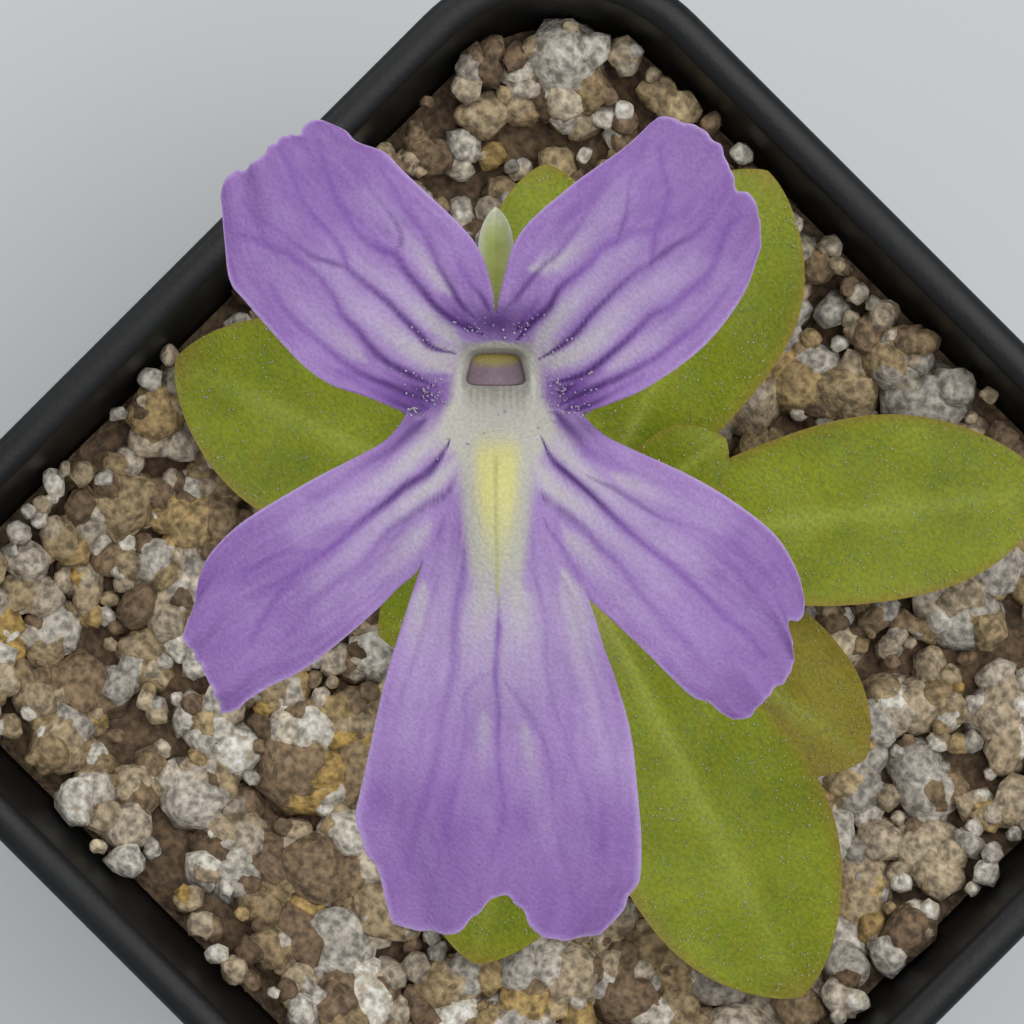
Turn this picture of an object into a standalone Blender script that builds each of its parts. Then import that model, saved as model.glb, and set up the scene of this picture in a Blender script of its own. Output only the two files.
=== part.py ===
"""A butterwort in flower, in its square plastic pot.

Row frame: metres, +Z up, origin at the middle of the pot's flat base, the pot's sides along X and Y.
The plant is laid out in its own plan: x to the flower's right, y towards the flower's upper lip,
both in millimetres from the pot's axis. PLAN_TURN turns that plan onto the pot, whose corner the
upper lip points at.
"""

import math

import bpy
import numpy as np

MM = 0.001
PLAN_TURN = math.radians(45)
TOUCH_GAP = 0.3  # clearance between pieces that touch on the real plant

# Pot, millimetres
POT_HEIGHT = 58.0
POT_BASE_SIDE = 46.0
POT_TOP_SIDE = 59.2
POT_WALL = 1.1
POT_FLOOR = 1.5
POT_BASE_CORNER = 6.0
POT_TOP_CORNER = 10.0
LIP_DEPTH = 5.0
LIP_PROUD = 1.0
DRAIN_RADIUS = 2.4
DRAIN_OFFSET = 14.5

# Soil, millimetres
SOIL_TOP = 51.2
GRIT_RISE = 1.3
GRIT_REACH = 2.3
GRIT_SPACING = 3.6
SOIL_SEED = 7
SOIL_RINGS = 13
SOIL_COLUMNS = 50

# Rootstock, millimetres, in the plant's plan
CROWN_CENTRE = (0.6, 5.3)
CROWN_RADIUS = 2.2
CROWN_FOOT = 44.0
CROWN_TOP = 57.6

# Scape (the flower's stalk) and flower, millimetres
FLOWER_CENTRE = (-3.3, 11.8, 133.0)
SCAPE_FOOT_RADIUS = 0.75
SCAPE_TOP_RADIUS = 0.5
CALYX_CENTRE = (0.0, 0.5)  # from the flower's centre
CALYX_FLOOR = -6.2
CALYX_DEPTH = 0.65
CALYX_RADIUS = 1.0

# Corolla, millimetres from the flower's centre, seen face on
LIMB_THICKNESS = 0.7
LOBE_COLUMNS = 10
LOBE_ROWS = 10
THROAT_ROWS = 4

# Lobe outlines, anticlockwise: each runs from its first sinus out along one side, round the waved
# tip, and back down the other side to its second sinus.
LOBES = {
    "upper_right": {
        "base": [(3.1, -1.0), (2.4, 1.7), (0.0, 2.6)],
        "first_side": [(3.1, -1.0), (4.3, -0.6), (5.6, 0.0), (7.5, 1.4), (8.9, 3.2), (9.6, 5.0)],
        "tip": [
            (9.6, 5.0), (9.5, 6.2), (9.2, 6.8), (8.7, 7.1), (8.5, 7.7), (8.1, 8.6), (7.3, 9.3), (6.5, 9.6),
            (6.0, 9.75), (5.6, 9.5),
        ],
        "second_side": [(0.0, 2.6), (0.25, 3.7), (0.9, 5.5), (2.6, 7.1), (4.4, 8.4), (5.1, 9.0), (5.6, 9.5)],
    },
    "upper_left": {
        "base": [(0.0, 2.6), (-2.4, 1.7), (-3.2, -1.0)],
        "first_side": [
            (0.0, 2.6), (-0.15, 3.6), (-0.6, 4.9), (-1.4, 5.9), (-3.3, 7.7), (-4.0, 8.4), (-5.0, 8.8),
            (-5.4, 9.2), (-6.0, 9.5),
        ],
        "tip": [
            (-6.0, 9.5), (-6.4, 9.6), (-6.8, 9.5), (-7.1, 9.1), (-7.7, 9.0), (-8.1, 8.6), (-8.4, 8.3),
            (-8.9, 7.9), (-9.5, 7.7), (-9.8, 7.4), (-9.95, 6.9),
        ],
        "second_side": [
            (-3.2, -1.0), (-4.7, -0.4), (-5.9, 0.0), (-6.8, 0.6), (-7.6, 1.4), (-9.0, 3.0), (-9.6, 3.8),
            (-9.8, 5.3), (-9.95, 6.9),
        ],
    },
    "lower_left": {
        "base": [(-3.2, -1.0), (-3.2, -3.8), (-2.6, -6.3)],
        "first_side": [
            (-3.2, -1.0), (-3.6, -1.6), (-4.3, -2.2), (-6.6, -3.4), (-8.8, -4.7), (-9.7, -5.4),
            (-10.4, -6.2), (-10.75, -7.0),
        ],
        "tip": [
            (-10.75, -7.0), (-11.0, -8.2), (-11.25, -8.8), (-11.2, -9.3), (-10.8, -9.9), (-10.1, -11.3),
            (-10.0, -11.9),
        ],
        "second_side": [
            (-2.6, -6.3), (-2.9, -6.8), (-3.5, -7.3), (-4.3, -8.1), (-5.8, -9.4), (-7.0, -10.3),
            (-8.2, -10.9), (-9.0, -11.4), (-9.4, -11.75), (-10.0, -11.9),
        ],
    },
    "lower": {
        "base": [(-2.6, -6.3), (0.3, -6.9), (3.35, -7.7)],
        "first_side": [
            (-2.6, -6.3), (-3.15, -7.9), (-3.8, -10.0), (-4.2, -11.5), (-4.8, -14.2), (-5.1, -15.6),
            (-4.9, -16.4), (-4.75, -17.0), (-4.35, -17.5), (-4.15, -18.2), (-4.0, -18.9), (-3.8, -19.6),
        ],
        "tip": [
            (-3.8, -19.6), (-3.0, -19.85), (-1.5, -19.95), (-0.6, -19.1), (-0.1, -18.65), (0.45, -18.55),
            (0.8, -18.9), (1.5, -19.9), (2.2, -20.2), (3.8, -20.1),
        ],
        "second_side": [
            (3.35, -7.7), (3.6, -8.4), (3.9, -9.4), (4.3, -10.5), (4.9, -12.6), (5.2, -15.2), (5.3, -16.6),
            (5.25, -18.0), (4.85, -18.6), (4.7, -19.1), (4.2, -19.7), (3.8, -20.1),
        ],
    },
    "lower_right": {
        "base": [(3.35, -7.7), (3.7, -4.2), (3.1, -1.0)],
        "first_side": [
            (3.35, -7.7), (3.8, -8.1), (5.2, -9.4), (6.6, -10.8), (7.2, -11.3), (7.7, -11.45),
            (8.1, -11.8), (8.6, -12.1),
        ],
        "tip": [
            (8.6, -12.1), (9.2, -12.0), (9.8, -11.3), (10.7, -10.4), (10.75, -9.4), (10.6, -8.6),
            (10.9, -8.5), (11.15, -8.3), (11.2, -7.8),
        ],
        "second_side": [
            (3.1, -1.0), (3.8, -1.7), (4.7, -2.2), (6.9, -3.2), (8.6, -4.2), (10.1, -5.4), (10.9, -6.7),
            (11.2, -7.8),
        ],
    },
}

# Throat ellipses from the lobes' bases inwards: centre y, half width, half height, z
THROAT_INSIDE = [(0.55, 1.5, 1.0, -1.3), (0.65, 1.1, 0.65, -2.1), (0.6, 0.95, 0.75, -3.3)]
THROAT_OUTSIDE = [(0.3, 2.6, 2.1, -2.3), (0.4, 1.9, 1.7, -3.4), (0.4, 1.3, 1.2, -4.6)]
THROAT_FLOOR_INSIDE = (0.6, -4.4)
THROAT_FLOOR_OUTSIDE = (0.4, -5.2)

# Spur: points (y, z) of its centre line and its radius there
SPUR = [(-0.6, -3.9, 0.7), (-1.4, -4.9, 0.72), (-2.0, -6.2, 0.7), (-2.5, -9.0, 0.65), (-2.9, -12.5, 0.6),
        (-3.0, -16.0, 0.55)]

# Sepals: direction in degrees and length from the calyx centre
SEPALS = [(90, 5.8), (30, 4.2), (150, 4.2), (200, 3.8), (340, 3.8)]
SEPAL_RISE = 3.8
SEPAL_WIDTH = 1.5
SEPAL_THICKNESS = 0.6

# Leaves: direction in degrees in the plan, length, width, level on the rootstock, rise of the blade's
# middle and of its tip above its base
LEAVES = [
    (6.6, 27.5, 10.6, 1, 1.0, 1.0),
    (62.3, 24.0, 11.0, 1, 1.4, 2.4),
    (93.8, 21.9, 8.4, 0, 0.7, 1.4),
    (154.5, 25.0, 11.5, 0, 0.8, 1.2),
    (205.0, 12.0, 6.0, 1, 1.2, 1.6),
    (257.3, 24.7, 11.2, 0, 0.6, 0.2),
    (297.3, 29.0, 12.6, 1, 1.2, 0.3),
    (324.4, 21.0, 9.6, 0, 0.6, 0.3),
    (35.0, 10.5, 5.0, 2, 2.8, 4.6),
    (130.0, 9.0, 4.6, 2, 3.0, 4.8),
    (240.0, 11.0, 5.2, 2, 2.6, 4.2),
]
LEAF_LEVELS = [53.7, 55.1, 56.5]
LEAF_THICKNESS = 0.65
LEAF_BASE_HALF_WIDTH = 1.0
LEAF_CUP = 0.35  # how far the margins turn up
LEAF_COLUMNS = 6
LEAF_ROWS = 11


def smooth_line(points, count):
    """count points evenly spaced by length on a Catmull-Rom curve through the given points."""
    p = np.array(points, float)
    ends = np.vstack([2 * p[0] - p[1], p, 2 * p[-1] - p[-2]])
    t = np.linspace(0, 1, 13)[:-1, None]
    pieces = []
    for a, b, c, d in zip(ends, ends[1:], ends[2:], ends[3:]):
        pieces.append(0.5 * (2 * b + (c - a) * t + (2 * a - 5 * b + 4 * c - d) * t**2 + (3 * b - a - 3 * c + d) * t**3))
    curve = np.vstack([*pieces, p[-1]])
    along = np.concatenate([[0], np.cumsum(np.linalg.norm(np.diff(curve, axis=0), axis=1))])
    wanted = np.linspace(0, along[-1], count)
    return np.stack([np.interp(wanted, along, curve[:, k]) for k in range(p.shape[1])], axis=1)


def make_material(name, colour, roughness):
    material = bpy.data.materials.new(name)
    material.use_nodes = True
    shader = material.node_tree.nodes["Principled BSDF"]
    shader.inputs["Base Color"].default_value = (*colour, 1.0)
    shader.inputs["Roughness"].default_value = roughness
    shader.inputs["Metallic"].default_value = 0.0
    return material


def add_mesh(name, points, faces, material):
    """An object from points in millimetres in the row frame, smooth except at its sharp edges."""
    mesh = bpy.data.meshes.new(name)
    mesh.from_pydata((np.asarray(points, float) * MM).tolist(), [], [list(map(int, f)) for f in faces])
    mesh.validate()
    mesh.shade_smooth()
    mesh.set_sharp_from_angle(angle=math.radians(50))
    mesh.materials.append(material)
    obj = bpy.data.objects.new(name, mesh)
    bpy.context.scene.collection.objects.link(obj)
    return obj


def to_row(points, centre=(0.0, 0.0, 0.0)):
    """Points of the plant's plan, from centre, turned onto the pot."""
    p = np.asarray(points, float) + np.array(centre)
    c, s = math.cos(PLAN_TURN), math.sin(PLAN_TURN)
    return np.stack([c * p[:, 0] - s * p[:, 1], s * p[:, 0] + c * p[:, 1], p[:, 2]], axis=1)


def grid_triangles(index):
    """Two triangles for each cell of a 2-D array of point numbers."""
    a, b, c, d = index[:-1, :-1], index[1:, :-1], index[1:, 1:], index[:-1, 1:]
    first = np.stack([a, b, c], axis=-1).reshape(-1, 3)
    second = np.stack([a, c, d], axis=-1).reshape(-1, 3)
    return np.vstack([first, second])


def close_sheet(front, back, triangles):
    """A solid between two sheets of the same net: both faces split alike, joined round the open edge."""
    n = len(front)
    edges = np.vstack([triangles[:, [0, 1]], triangles[:, [1, 2]], triangles[:, [2, 0]]])
    known = {(a, b) for a, b in edges.tolist()}
    rim = np.array([(a, b) for a, b in known if (b, a) not in known])
    walls = np.vstack([
        np.stack([rim[:, 1], rim[:, 0], rim[:, 0] + n], axis=1),
        np.stack([rim[:, 1], rim[:, 0] + n, rim[:, 1] + n], axis=1),
    ])
    return np.vstack([front, back]), np.vstack([triangles, triangles[:, ::-1] + n, walls])


def rings_solid(rings):
    """Points and faces of rings of the same count, bridged in turn, the first and last one closed."""
    count, n = len(rings), len(rings[0])
    faces = [list(range(n))[::-1], [(count - 1) * n + k for k in range(n)]]
    for r in range(count - 1):
        for k in range(n):
            m = (k + 1) % n
            faces.append([r * n + k, r * n + m, (r + 1) * n + m, (r + 1) * n + k])
    return np.vstack(rings), faces


def rounded_square(side, corner, z, per_corner=7):
    """One ring of a square with round corners, anticlockwise from above."""
    points = []
    middle = side / 2 - corner
    for quarter in range(4):
        turn = quarter * math.pi / 2
        cx = middle * math.sqrt(2) * math.cos(turn + math.pi / 4)
        cy = middle * math.sqrt(2) * math.sin(turn + math.pi / 4)
        for k in range(per_corner):
            a = turn + (math.pi / 2) * k / (per_corner - 1)
            points.append((cx + corner * math.cos(a), cy + corner * math.sin(a), z))
    return np.array(points)


def pot_side(z):
    """Outer side of the tapered pot at a height."""
    return POT_BASE_SIDE + (POT_TOP_SIDE - POT_BASE_SIDE) * z / POT_HEIGHT


def pot_corner(z):
    return POT_BASE_CORNER + (POT_TOP_CORNER - POT_BASE_CORNER) * z / POT_HEIGHT


def pot_inside(z, clearance=0.0):
    """Ring of the pot's inner wall at a height, drawn in by a clearance."""
    inset = POT_WALL + clearance
    return rounded_square(pot_side(z) - 2 * inset, pot_corner(z) - inset, z)


def build_pot(material):
    """A thin tapered square pot with a band under its rolled lip, a flat base and drain holes."""
    lip_foot = POT_HEIGHT - LIP_DEPTH

    def outside(z, proud=0.0):
        return rounded_square(pot_side(z) + 2 * proud, pot_corner(z) + proud, z)

    rings = [
        rounded_square(POT_BASE_SIDE - 1.4, POT_BASE_CORNER - 0.7, 0.0),
        outside(0.9),
        outside(lip_foot - 0.6),
        outside(lip_foot, LIP_PROUD),
        outside(POT_HEIGHT - 0.5, LIP_PROUD),
        rounded_square(POT_TOP_SIDE + 2 * LIP_PROUD - 0.8, POT_TOP_CORNER + LIP_PROUD - 0.4, POT_HEIGHT),
        rounded_square(POT_TOP_SIDE - 2 * POT_WALL + 0.8, POT_TOP_CORNER - POT_WALL + 0.4, POT_HEIGHT),
        pot_inside(POT_HEIGHT - 0.5),
        pot_inside(POT_FLOOR + 1.0),
        pot_inside(POT_FLOOR, 0.8),
    ]
    pot = add_mesh("pot", *rings_solid(rings), material)
    for k in range(4):
        angle = math.pi / 4 + k * math.pi / 2
        bpy.ops.mesh.primitive_cylinder_add(
            vertices=16,
            radius=DRAIN_RADIUS * MM,
            depth=0.02,
            location=(DRAIN_OFFSET * math.sqrt(2) * math.cos(angle) * MM,
                      DRAIN_OFFSET * math.sqrt(2) * math.sin(angle) * MM, 0.0),
        )
        cutter = bpy.context.object
        cutter.name = f"drain_cutter_{k + 1}"
        cutter.hide_render = True
        cutter.display_type = "WIRE"
        hole = pot.modifiers.new(f"drain_{k + 1}", "BOOLEAN")
        hole.operation = "DIFFERENCE"
        hole.object = cutter
    return pot


def grit_centres():
    """Middles of the grit pieces on the soil: a square net, each shaken by a seeded draw."""
    draw = np.random.default_rng(SOIL_SEED)
    steps = np.arange(-30, 30.1, GRIT_SPACING)
    x, y = np.meshgrid(steps, steps)
    centres = np.stack([x.ravel(), y.ravel()], axis=1)
    return centres + draw.uniform(-0.3, 0.3, centres.shape) * GRIT_SPACING


def build_soil(material):
    """The gritty soil that fills the pot: domed pieces on top and a plain hole for the rootstock."""
    crown = to_row([(*CROWN_CENTRE, 0.0)])[0][:2]
    turns = np.linspace(0, 2 * math.pi, SOIL_COLUMNS, endpoint=False)
    wall = outline_towards(pot_inside(SOIL_TOP, TOUCH_GAP)[:, :2], crown, turns)
    hole_radius = CROWN_RADIUS + TOUCH_GAP
    hole = crown + hole_radius * np.stack([np.cos(turns), np.sin(turns)], axis=1)
    centres = grit_centres()
    rings = [np.column_stack([outline_towards(pot_inside(POT_FLOOR + 1.0, TOUCH_GAP)[:, :2], crown, turns),
                              np.full(SOIL_COLUMNS, POT_FLOOR + 1.0)])]
    for s in np.linspace(1, 0, SOIL_RINGS + 1):
        at = hole * (1 - s) + wall * s
        far = np.linalg.norm(at[:, None] - centres[None], axis=2).min(axis=1)
        dome = np.clip(1 - (far / GRIT_REACH) ** 2, 0, 1)
        fade = min(1.0, 6 * (1 - s)) * min(1.0, 6 * s)
        rings.append(np.column_stack([at, SOIL_TOP + GRIT_RISE * dome * fade]))
    rings.append(np.column_stack([hole, np.full(SOIL_COLUMNS, CROWN_FOOT - TOUCH_GAP)]))
    return add_mesh("soil", *rings_solid(rings), material)


def outline_towards(outline, centre, turns):
    """Where rays from centre at the given angles meet a convex outline."""
    closed = np.vstack([outline, outline[:1]])
    found = []
    for turn in turns:
        ray = np.array([math.cos(turn), math.sin(turn)])
        best = None
        for a, b in zip(closed[:-1], closed[1:]):
            edge = b - a
            den = ray[0] * edge[1] - ray[1] * edge[0]
            if abs(den) < 1e-12:
                continue
            start = a - centre
            reach = (start[0] * edge[1] - start[1] * edge[0]) / den
            share = (start[0] * ray[1] - start[1] * ray[0]) / den
            if reach > 0 and -1e-9 <= share <= 1 + 1e-9:
                best = reach if best is None else max(best, reach)
        found.append(centre + best * ray)
    return np.array(found)


def build_crown(material):
    """The short rootstock that the leaves and the scape grow from, with its foot in the soil."""
    profile = [(CROWN_FOOT, 1.4), (CROWN_FOOT + 1.5, CROWN_RADIUS), (56.6, CROWN_RADIUS), (57.2, 1.9),
               (CROWN_TOP, 1.2)]
    turns = np.linspace(0, 2 * math.pi, 20, endpoint=False)
    rings = []
    for z, radius in profile:
        ring = np.column_stack([radius * np.cos(turns), radius * np.sin(turns), np.full(20, z)])
        rings.append(to_row(ring, (*CROWN_CENTRE, 0.0)))
    return add_mesh("rootstock", *rings_solid(rings), material)


def leaf_half_width(t, width):
    """Half width along the leaf: a narrow base, widest past the middle, a round tip."""
    body = np.sin(math.pi * t**1.35) ** 0.6
    return np.maximum(width / 2 * body, LEAF_BASE_HALF_WIDTH * (1 - t) ** 1.5 + 0.1 * width * t**8)


def build_leaf(number, leaf, material):
    """One leaf: an oval blade with turned-up margins and a groove along its midrib."""
    direction, length, width, level, rise_middle, rise_tip = leaf
    reach = CROWN_RADIUS + TOUCH_GAP
    even = np.linspace(0, 1, LEAF_ROWS + 1)[:, None]
    t = 0.5 * even + 0.5 * np.sin(even * math.pi / 2)  # rows closer together towards the round tip
    u = np.linspace(-1, 1, LEAF_COLUMNS + 1)[None, :]
    half = leaf_half_width(t, width)
    out = reach + (length - reach) * t - 0.25 * half * u**2 * t**6
    side = u * half
    bend = math.radians(direction)
    cup = LEAF_CUP * np.abs(u) ** 2.2 * np.sin(math.pi * t) ** 0.5
    z = LEAF_LEVELS[level] + rise_middle * np.sin(math.pi * t) + rise_tip * t**2 + cup
    x = out * math.cos(bend) - side * math.sin(bend)
    y = out * math.sin(bend) + side * math.cos(bend)
    thick = LEAF_THICKNESS
    front = np.stack([x, y, z + thick / 2], axis=-1).reshape(-1, 3)
    back = np.stack([x, y, z - thick / 2], axis=-1).reshape(-1, 3)
    index = np.arange(front.shape[0]).reshape(LEAF_ROWS + 1, LEAF_COLUMNS + 1)
    points, faces = close_sheet(front, back, grid_triangles(index))
    return add_mesh(f"leaf_{number:02d}", to_row(points, (*CROWN_CENTRE, 0.0)), faces, material)


def limb_height(x, y):
    """Height of the corolla's face: it dips into the throat, swells at the palate and turns back."""
    r = np.hypot(x, y - 0.3)
    funnel = -1.6 * np.exp(-((r / 2.2) ** 2))
    spread = 0.9 * (1 - np.exp(-((r / 6) ** 2))) - 0.006 * r**2
    palate = 0.9 * np.exp(-((x / 1.3) ** 2) - ((y + 4.2) / 2.8) ** 2)
    waves = 0.12 * np.sin(1.1 * x + 0.6 * y) * np.clip(r / 8 - 0.5, 0, 1)
    return funnel + spread + palate + waves


def lobe_net(lobe):
    """Points of one lobe: a Coons patch between its base, its two sides and its tip."""
    base = smooth_line(lobe["base"], LOBE_COLUMNS + 1)[None]
    tip = smooth_line(lobe["tip"], LOBE_COLUMNS + 1)[None]
    first = smooth_line(lobe["first_side"], LOBE_ROWS + 1)[:, None]
    second = smooth_line(lobe["second_side"], LOBE_ROWS + 1)[:, None]
    u = np.linspace(0, 1, LOBE_COLUMNS + 1)[None, :, None]
    v = np.linspace(0, 1, LOBE_ROWS + 1)[:, None, None]
    corners = ((1 - u) * (1 - v) * base[:, :1] + u * (1 - v) * base[:, -1:]
               + (1 - u) * v * tip[:, :1] + u * v * tip[:, -1:])
    return (1 - v) * base + v * tip + (1 - u) * first + u * second - corners


def build_corolla(material):
    """The corolla: five lobes fused into one limb, a short tube behind the throat and a slender spur."""
    nets = [lobe_net(lobe) for lobe in LOBES.values()]
    ring = np.vstack([net[0, :-1] for net in nets])
    around = len(ring)
    face_points = [ring]
    triangles = []
    for number, net in enumerate(nets):
        start = number * LOBE_COLUMNS
        first_row = (start + np.arange(LOBE_COLUMNS + 1)) % around
        offset = sum(len(p) for p in face_points)
        rest = offset + np.arange(LOBE_ROWS * (LOBE_COLUMNS + 1)).reshape(LOBE_ROWS, LOBE_COLUMNS + 1)
        face_points.append(net[1:].reshape(-1, 2))
        triangles.append(grid_triangles(np.vstack([first_row, rest])))
    flat = np.vstack(face_points)
    front = np.column_stack([flat, limb_height(flat[:, 0], flat[:, 1])])
    back = front - (0, 0, LIMB_THICKNESS)

    angles = np.arctan2(ring[:, 1] - 0.6, ring[:, 0])
    for ellipses, inside in ((THROAT_INSIDE, True), (THROAT_OUTSIDE, False)):
        face = front if inside else back
        edge = face[:around]
        rows = []
        middle_y, half_width, half_height, z = ellipses[0]
        mouth = np.column_stack([half_width * np.cos(angles), middle_y + half_height * np.sin(angles),
                                 np.full(around, z)])
        for step in range(1, THROAT_ROWS):
            s = step / THROAT_ROWS
            row = edge * (1 - s) + mouth * s
            if inside:
                row[:, 2] = limb_height(row[:, 0], row[:, 1])
            rows.append(row)
        rows.append(mouth)
        for middle_y, half_width, half_height, z in ellipses[1:]:
            rows.append(np.column_stack([half_width * np.cos(angles), middle_y + half_height * np.sin(angles),
                                         np.full(around, z)]))
        floor_y, floor_z = THROAT_FLOOR_INSIDE if inside else THROAT_FLOOR_OUTSIDE
        whole = np.vstack([face, *rows, [(0.0, floor_y, floor_z)]])
        if inside:
            front_all = whole
        else:
            back_all = whole
    row_count = THROAT_ROWS + len(THROAT_INSIDE) - 1
    first = len(flat)
    columns = np.arange(around + 1) % around
    index = np.vstack([columns, *[first + r * around + columns for r in range(row_count)]])
    triangles.append(grid_triangles(index[::-1]))
    centre = np.full(around, first + row_count * around)
    last = index[-1]
    triangles.append(np.stack([last[1:], centre, last[:-1]], axis=1))
    points, faces = close_sheet(front_all, back_all, np.vstack(triangles))
    corolla = add_mesh("corolla", to_row(points, FLOWER_CENTRE), faces, material)

    line = smooth_line([(0.0, y, z, r) for y, z, r in SPUR], 14)
    spur = tube_mesh(line[:, :3], line[:, 3], 10, tip_round=True)
    spur_object = add_mesh("spur", to_row(spur[0], FLOWER_CENTRE), spur[1], material)
    join_into(corolla, [spur_object])
    return corolla


def tube_mesh(line, radii, sides, tip_round=False):
    """Rings round a line, at right angles to it, with a small last ring where the tip is round."""
    line = np.asarray(line, float)
    radii = np.asarray(radii, float)
    along = np.gradient(line, axis=0)
    along /= np.linalg.norm(along, axis=1)[:, None]
    across = np.cross(along, (0.0, 1.0, 0.0))
    across /= np.linalg.norm(across, axis=1)[:, None]
    up = np.cross(across, along)
    if tip_round:
        line = np.vstack([line, line[-1] + along[-1] * radii[-1] * 0.6])
        radii = np.append(radii, radii[-1] * 0.5)
        across = np.vstack([across, across[-1:]])
        up = np.vstack([up, up[-1:]])
    turns = np.linspace(0, 2 * math.pi, sides, endpoint=False)
    rings = [p + r * (np.cos(turns)[:, None] * a + np.sin(turns)[:, None] * b)
             for p, r, a, b in zip(line, radii, across, up)]
    points, faces = rings_solid(rings)
    return points, [f[::-1] for f in faces]


def join_into(target, others):
    """One Boolean union of the others into target, applied, with the others then removed."""
    group = bpy.data.collections.new("to_join")
    bpy.context.scene.collection.children.link(group)
    for other in others:
        bpy.context.scene.collection.objects.unlink(other)
        group.objects.link(other)
    union = target.modifiers.new("join", "BOOLEAN")
    union.operation = "UNION"
    union.solver = "MANIFOLD"
    union.operand_type = "COLLECTION"
    union.collection = group
    bpy.context.view_layer.update()
    graph = bpy.context.evaluated_depsgraph_get()
    joined = bpy.data.meshes.new_from_object(target.evaluated_get(graph))
    target.modifiers.clear()
    target.data = joined
    for other in others:
        bpy.data.objects.remove(other)
    bpy.data.collections.remove(group)


def build_calyx(material):
    """The calyx: a small dish under the corolla's tube with five spreading sepals."""
    turns = np.linspace(0, 2 * math.pi, 16, endpoint=False)
    rings = []
    for z, radius in ((CALYX_FLOOR, 0.6), (CALYX_FLOOR + 0.25, CALYX_RADIUS),
                      (CALYX_FLOOR + CALYX_DEPTH, CALYX_RADIUS)):
        rings.append(np.column_stack([CALYX_CENTRE[0] + radius * np.cos(turns),
                                      CALYX_CENTRE[1] + radius * np.sin(turns), np.full(16, z)]))
    calyx = add_mesh("calyx", to_row(np.vstack(rings), FLOWER_CENTRE), rings_solid(rings)[1], material)
    sepals = []
    for number, (direction, length) in enumerate(SEPALS):
        rows, columns = 7, 4
        t = np.linspace(0, 1, rows + 1)[:, None]
        u = np.linspace(-1, 1, columns + 1)[None, :]
        out = 0.5 + (length - 0.5) * t - 0.15 * u**2 * t
        half = SEPAL_WIDTH / 2 * np.maximum(np.sin(math.pi * t**1.5) ** 0.8, 0.55 * (1 - t) ** 0.5)
        half[-1] = 0.12
        z = CALYX_FLOOR + 0.4 + SEPAL_RISE * t**1.5 + 0.15 * u**2
        turn = math.radians(direction)
        x = CALYX_CENTRE[0] + out * math.cos(turn) - u * half * math.sin(turn)
        y = CALYX_CENTRE[1] + out * math.sin(turn) + u * half * math.cos(turn)
        lean = SEPAL_THICKNESS / 2 * (1 + 0.5 * np.cos(math.pi / 2 * t))
        front = np.stack([x, y, z + lean], axis=-1).reshape(-1, 3)
        back = np.stack([x, y, z - lean], axis=-1).reshape(-1, 3)
        index = np.arange(len(front)).reshape(rows + 1, columns + 1)
        points, faces = close_sheet(front, back, grid_triangles(index))
        sepals.append(add_mesh(f"sepal_{number + 1}", to_row(points, FLOWER_CENTRE), faces, material))
    join_into(calyx, sepals)
    return calyx


def build_pistil(material):
    """The ovary at the bottom of the tube, with the stigma's flap standing up into the mouth."""
    profile = [(-3.7, 0.2, 0.2), (-3.45, 0.45, 0.35), (-3.1, 0.5, 0.38), (-2.6, 0.38, 0.33), (-2.1, 0.55, 0.31),
               (-1.7, 0.6, 0.31), (-1.4, 0.4, 0.3)]
    turns = np.linspace(0, 2 * math.pi, 12, endpoint=False)
    rings = [np.column_stack([a * np.cos(turns), 0.62 + b * np.sin(turns), np.full(12, z)]) for z, a, b in profile]
    return add_mesh("pistil", to_row(np.vstack(rings), FLOWER_CENTRE), rings_solid(rings)[1], material)


def build_scape(material):
    """The scape: a slender stalk from the rootstock up to the calyx, a curve with a round bevel."""
    fx, fy, fz = FLOWER_CENTRE
    cx, cy = CROWN_CENTRE
    top = (fx + CALYX_CENTRE[0], fy + CALYX_CENTRE[1], fz + CALYX_FLOOR - TOUCH_GAP)
    foot_z = CROWN_TOP + TOUCH_GAP
    route = [
        (cx, cy, foot_z),
        (cx + 0.2, cy + 0.2, foot_z + 8),
        (cx - 0.6, cy + 1.6, foot_z + 28),
        (cx - 2.6, cy + 4.6, foot_z + 50),
        (top[0] - 0.1, top[1] - 0.3, top[2] - 8),
        top,
    ]
    line = to_row(smooth_line(route, 34))
    curve = bpy.data.curves.new("scape", "CURVE")
    curve.dimensions = "3D"
    curve.bevel_depth = SCAPE_FOOT_RADIUS * MM
    curve.bevel_resolution = 2
    curve.use_fill_caps = True
    spline = curve.splines.new("POLY")
    spline.points.add(len(line) - 1)
    for k, point in enumerate(line):
        spline.points[k].co = (*(point * MM), 1.0)
        share = k / (len(line) - 1)
        spline.points[k].radius = 1 + (SCAPE_TOP_RADIUS / SCAPE_FOOT_RADIUS - 1) * share
    curve.materials.append(material)
    obj = bpy.data.objects.new("scape", curve)
    bpy.context.scene.collection.objects.link(obj)
    return obj


def main():
    for obj in list(bpy.data.objects):
        bpy.data.objects.remove(obj)
    plastic = make_material("black_plastic", (0.012, 0.013, 0.012), 0.45)
    grit = make_material("grit", (0.28, 0.22, 0.16), 0.9)
    leaf_skin = make_material("leaf", (0.20, 0.26, 0.03), 0.4)
    stalk_skin = make_material("stalk", (0.22, 0.24, 0.09), 0.5)
    petal = make_material("petal", (0.34, 0.17, 0.50), 0.6)
    sepal = make_material("sepal", (0.36, 0.44, 0.12), 0.55)
    stigma = make_material("stigma", (0.35, 0.28, 0.10), 0.6)
    build_pot(plastic)
    build_soil(grit)
    build_crown(stalk_skin)
    for number, leaf in enumerate(LEAVES, 1):
        build_leaf(number, leaf, leaf_skin)
    build_scape(stalk_skin)
    build_calyx(sepal)
    build_corolla(petal)
    build_pistil(stigma)


main()
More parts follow.
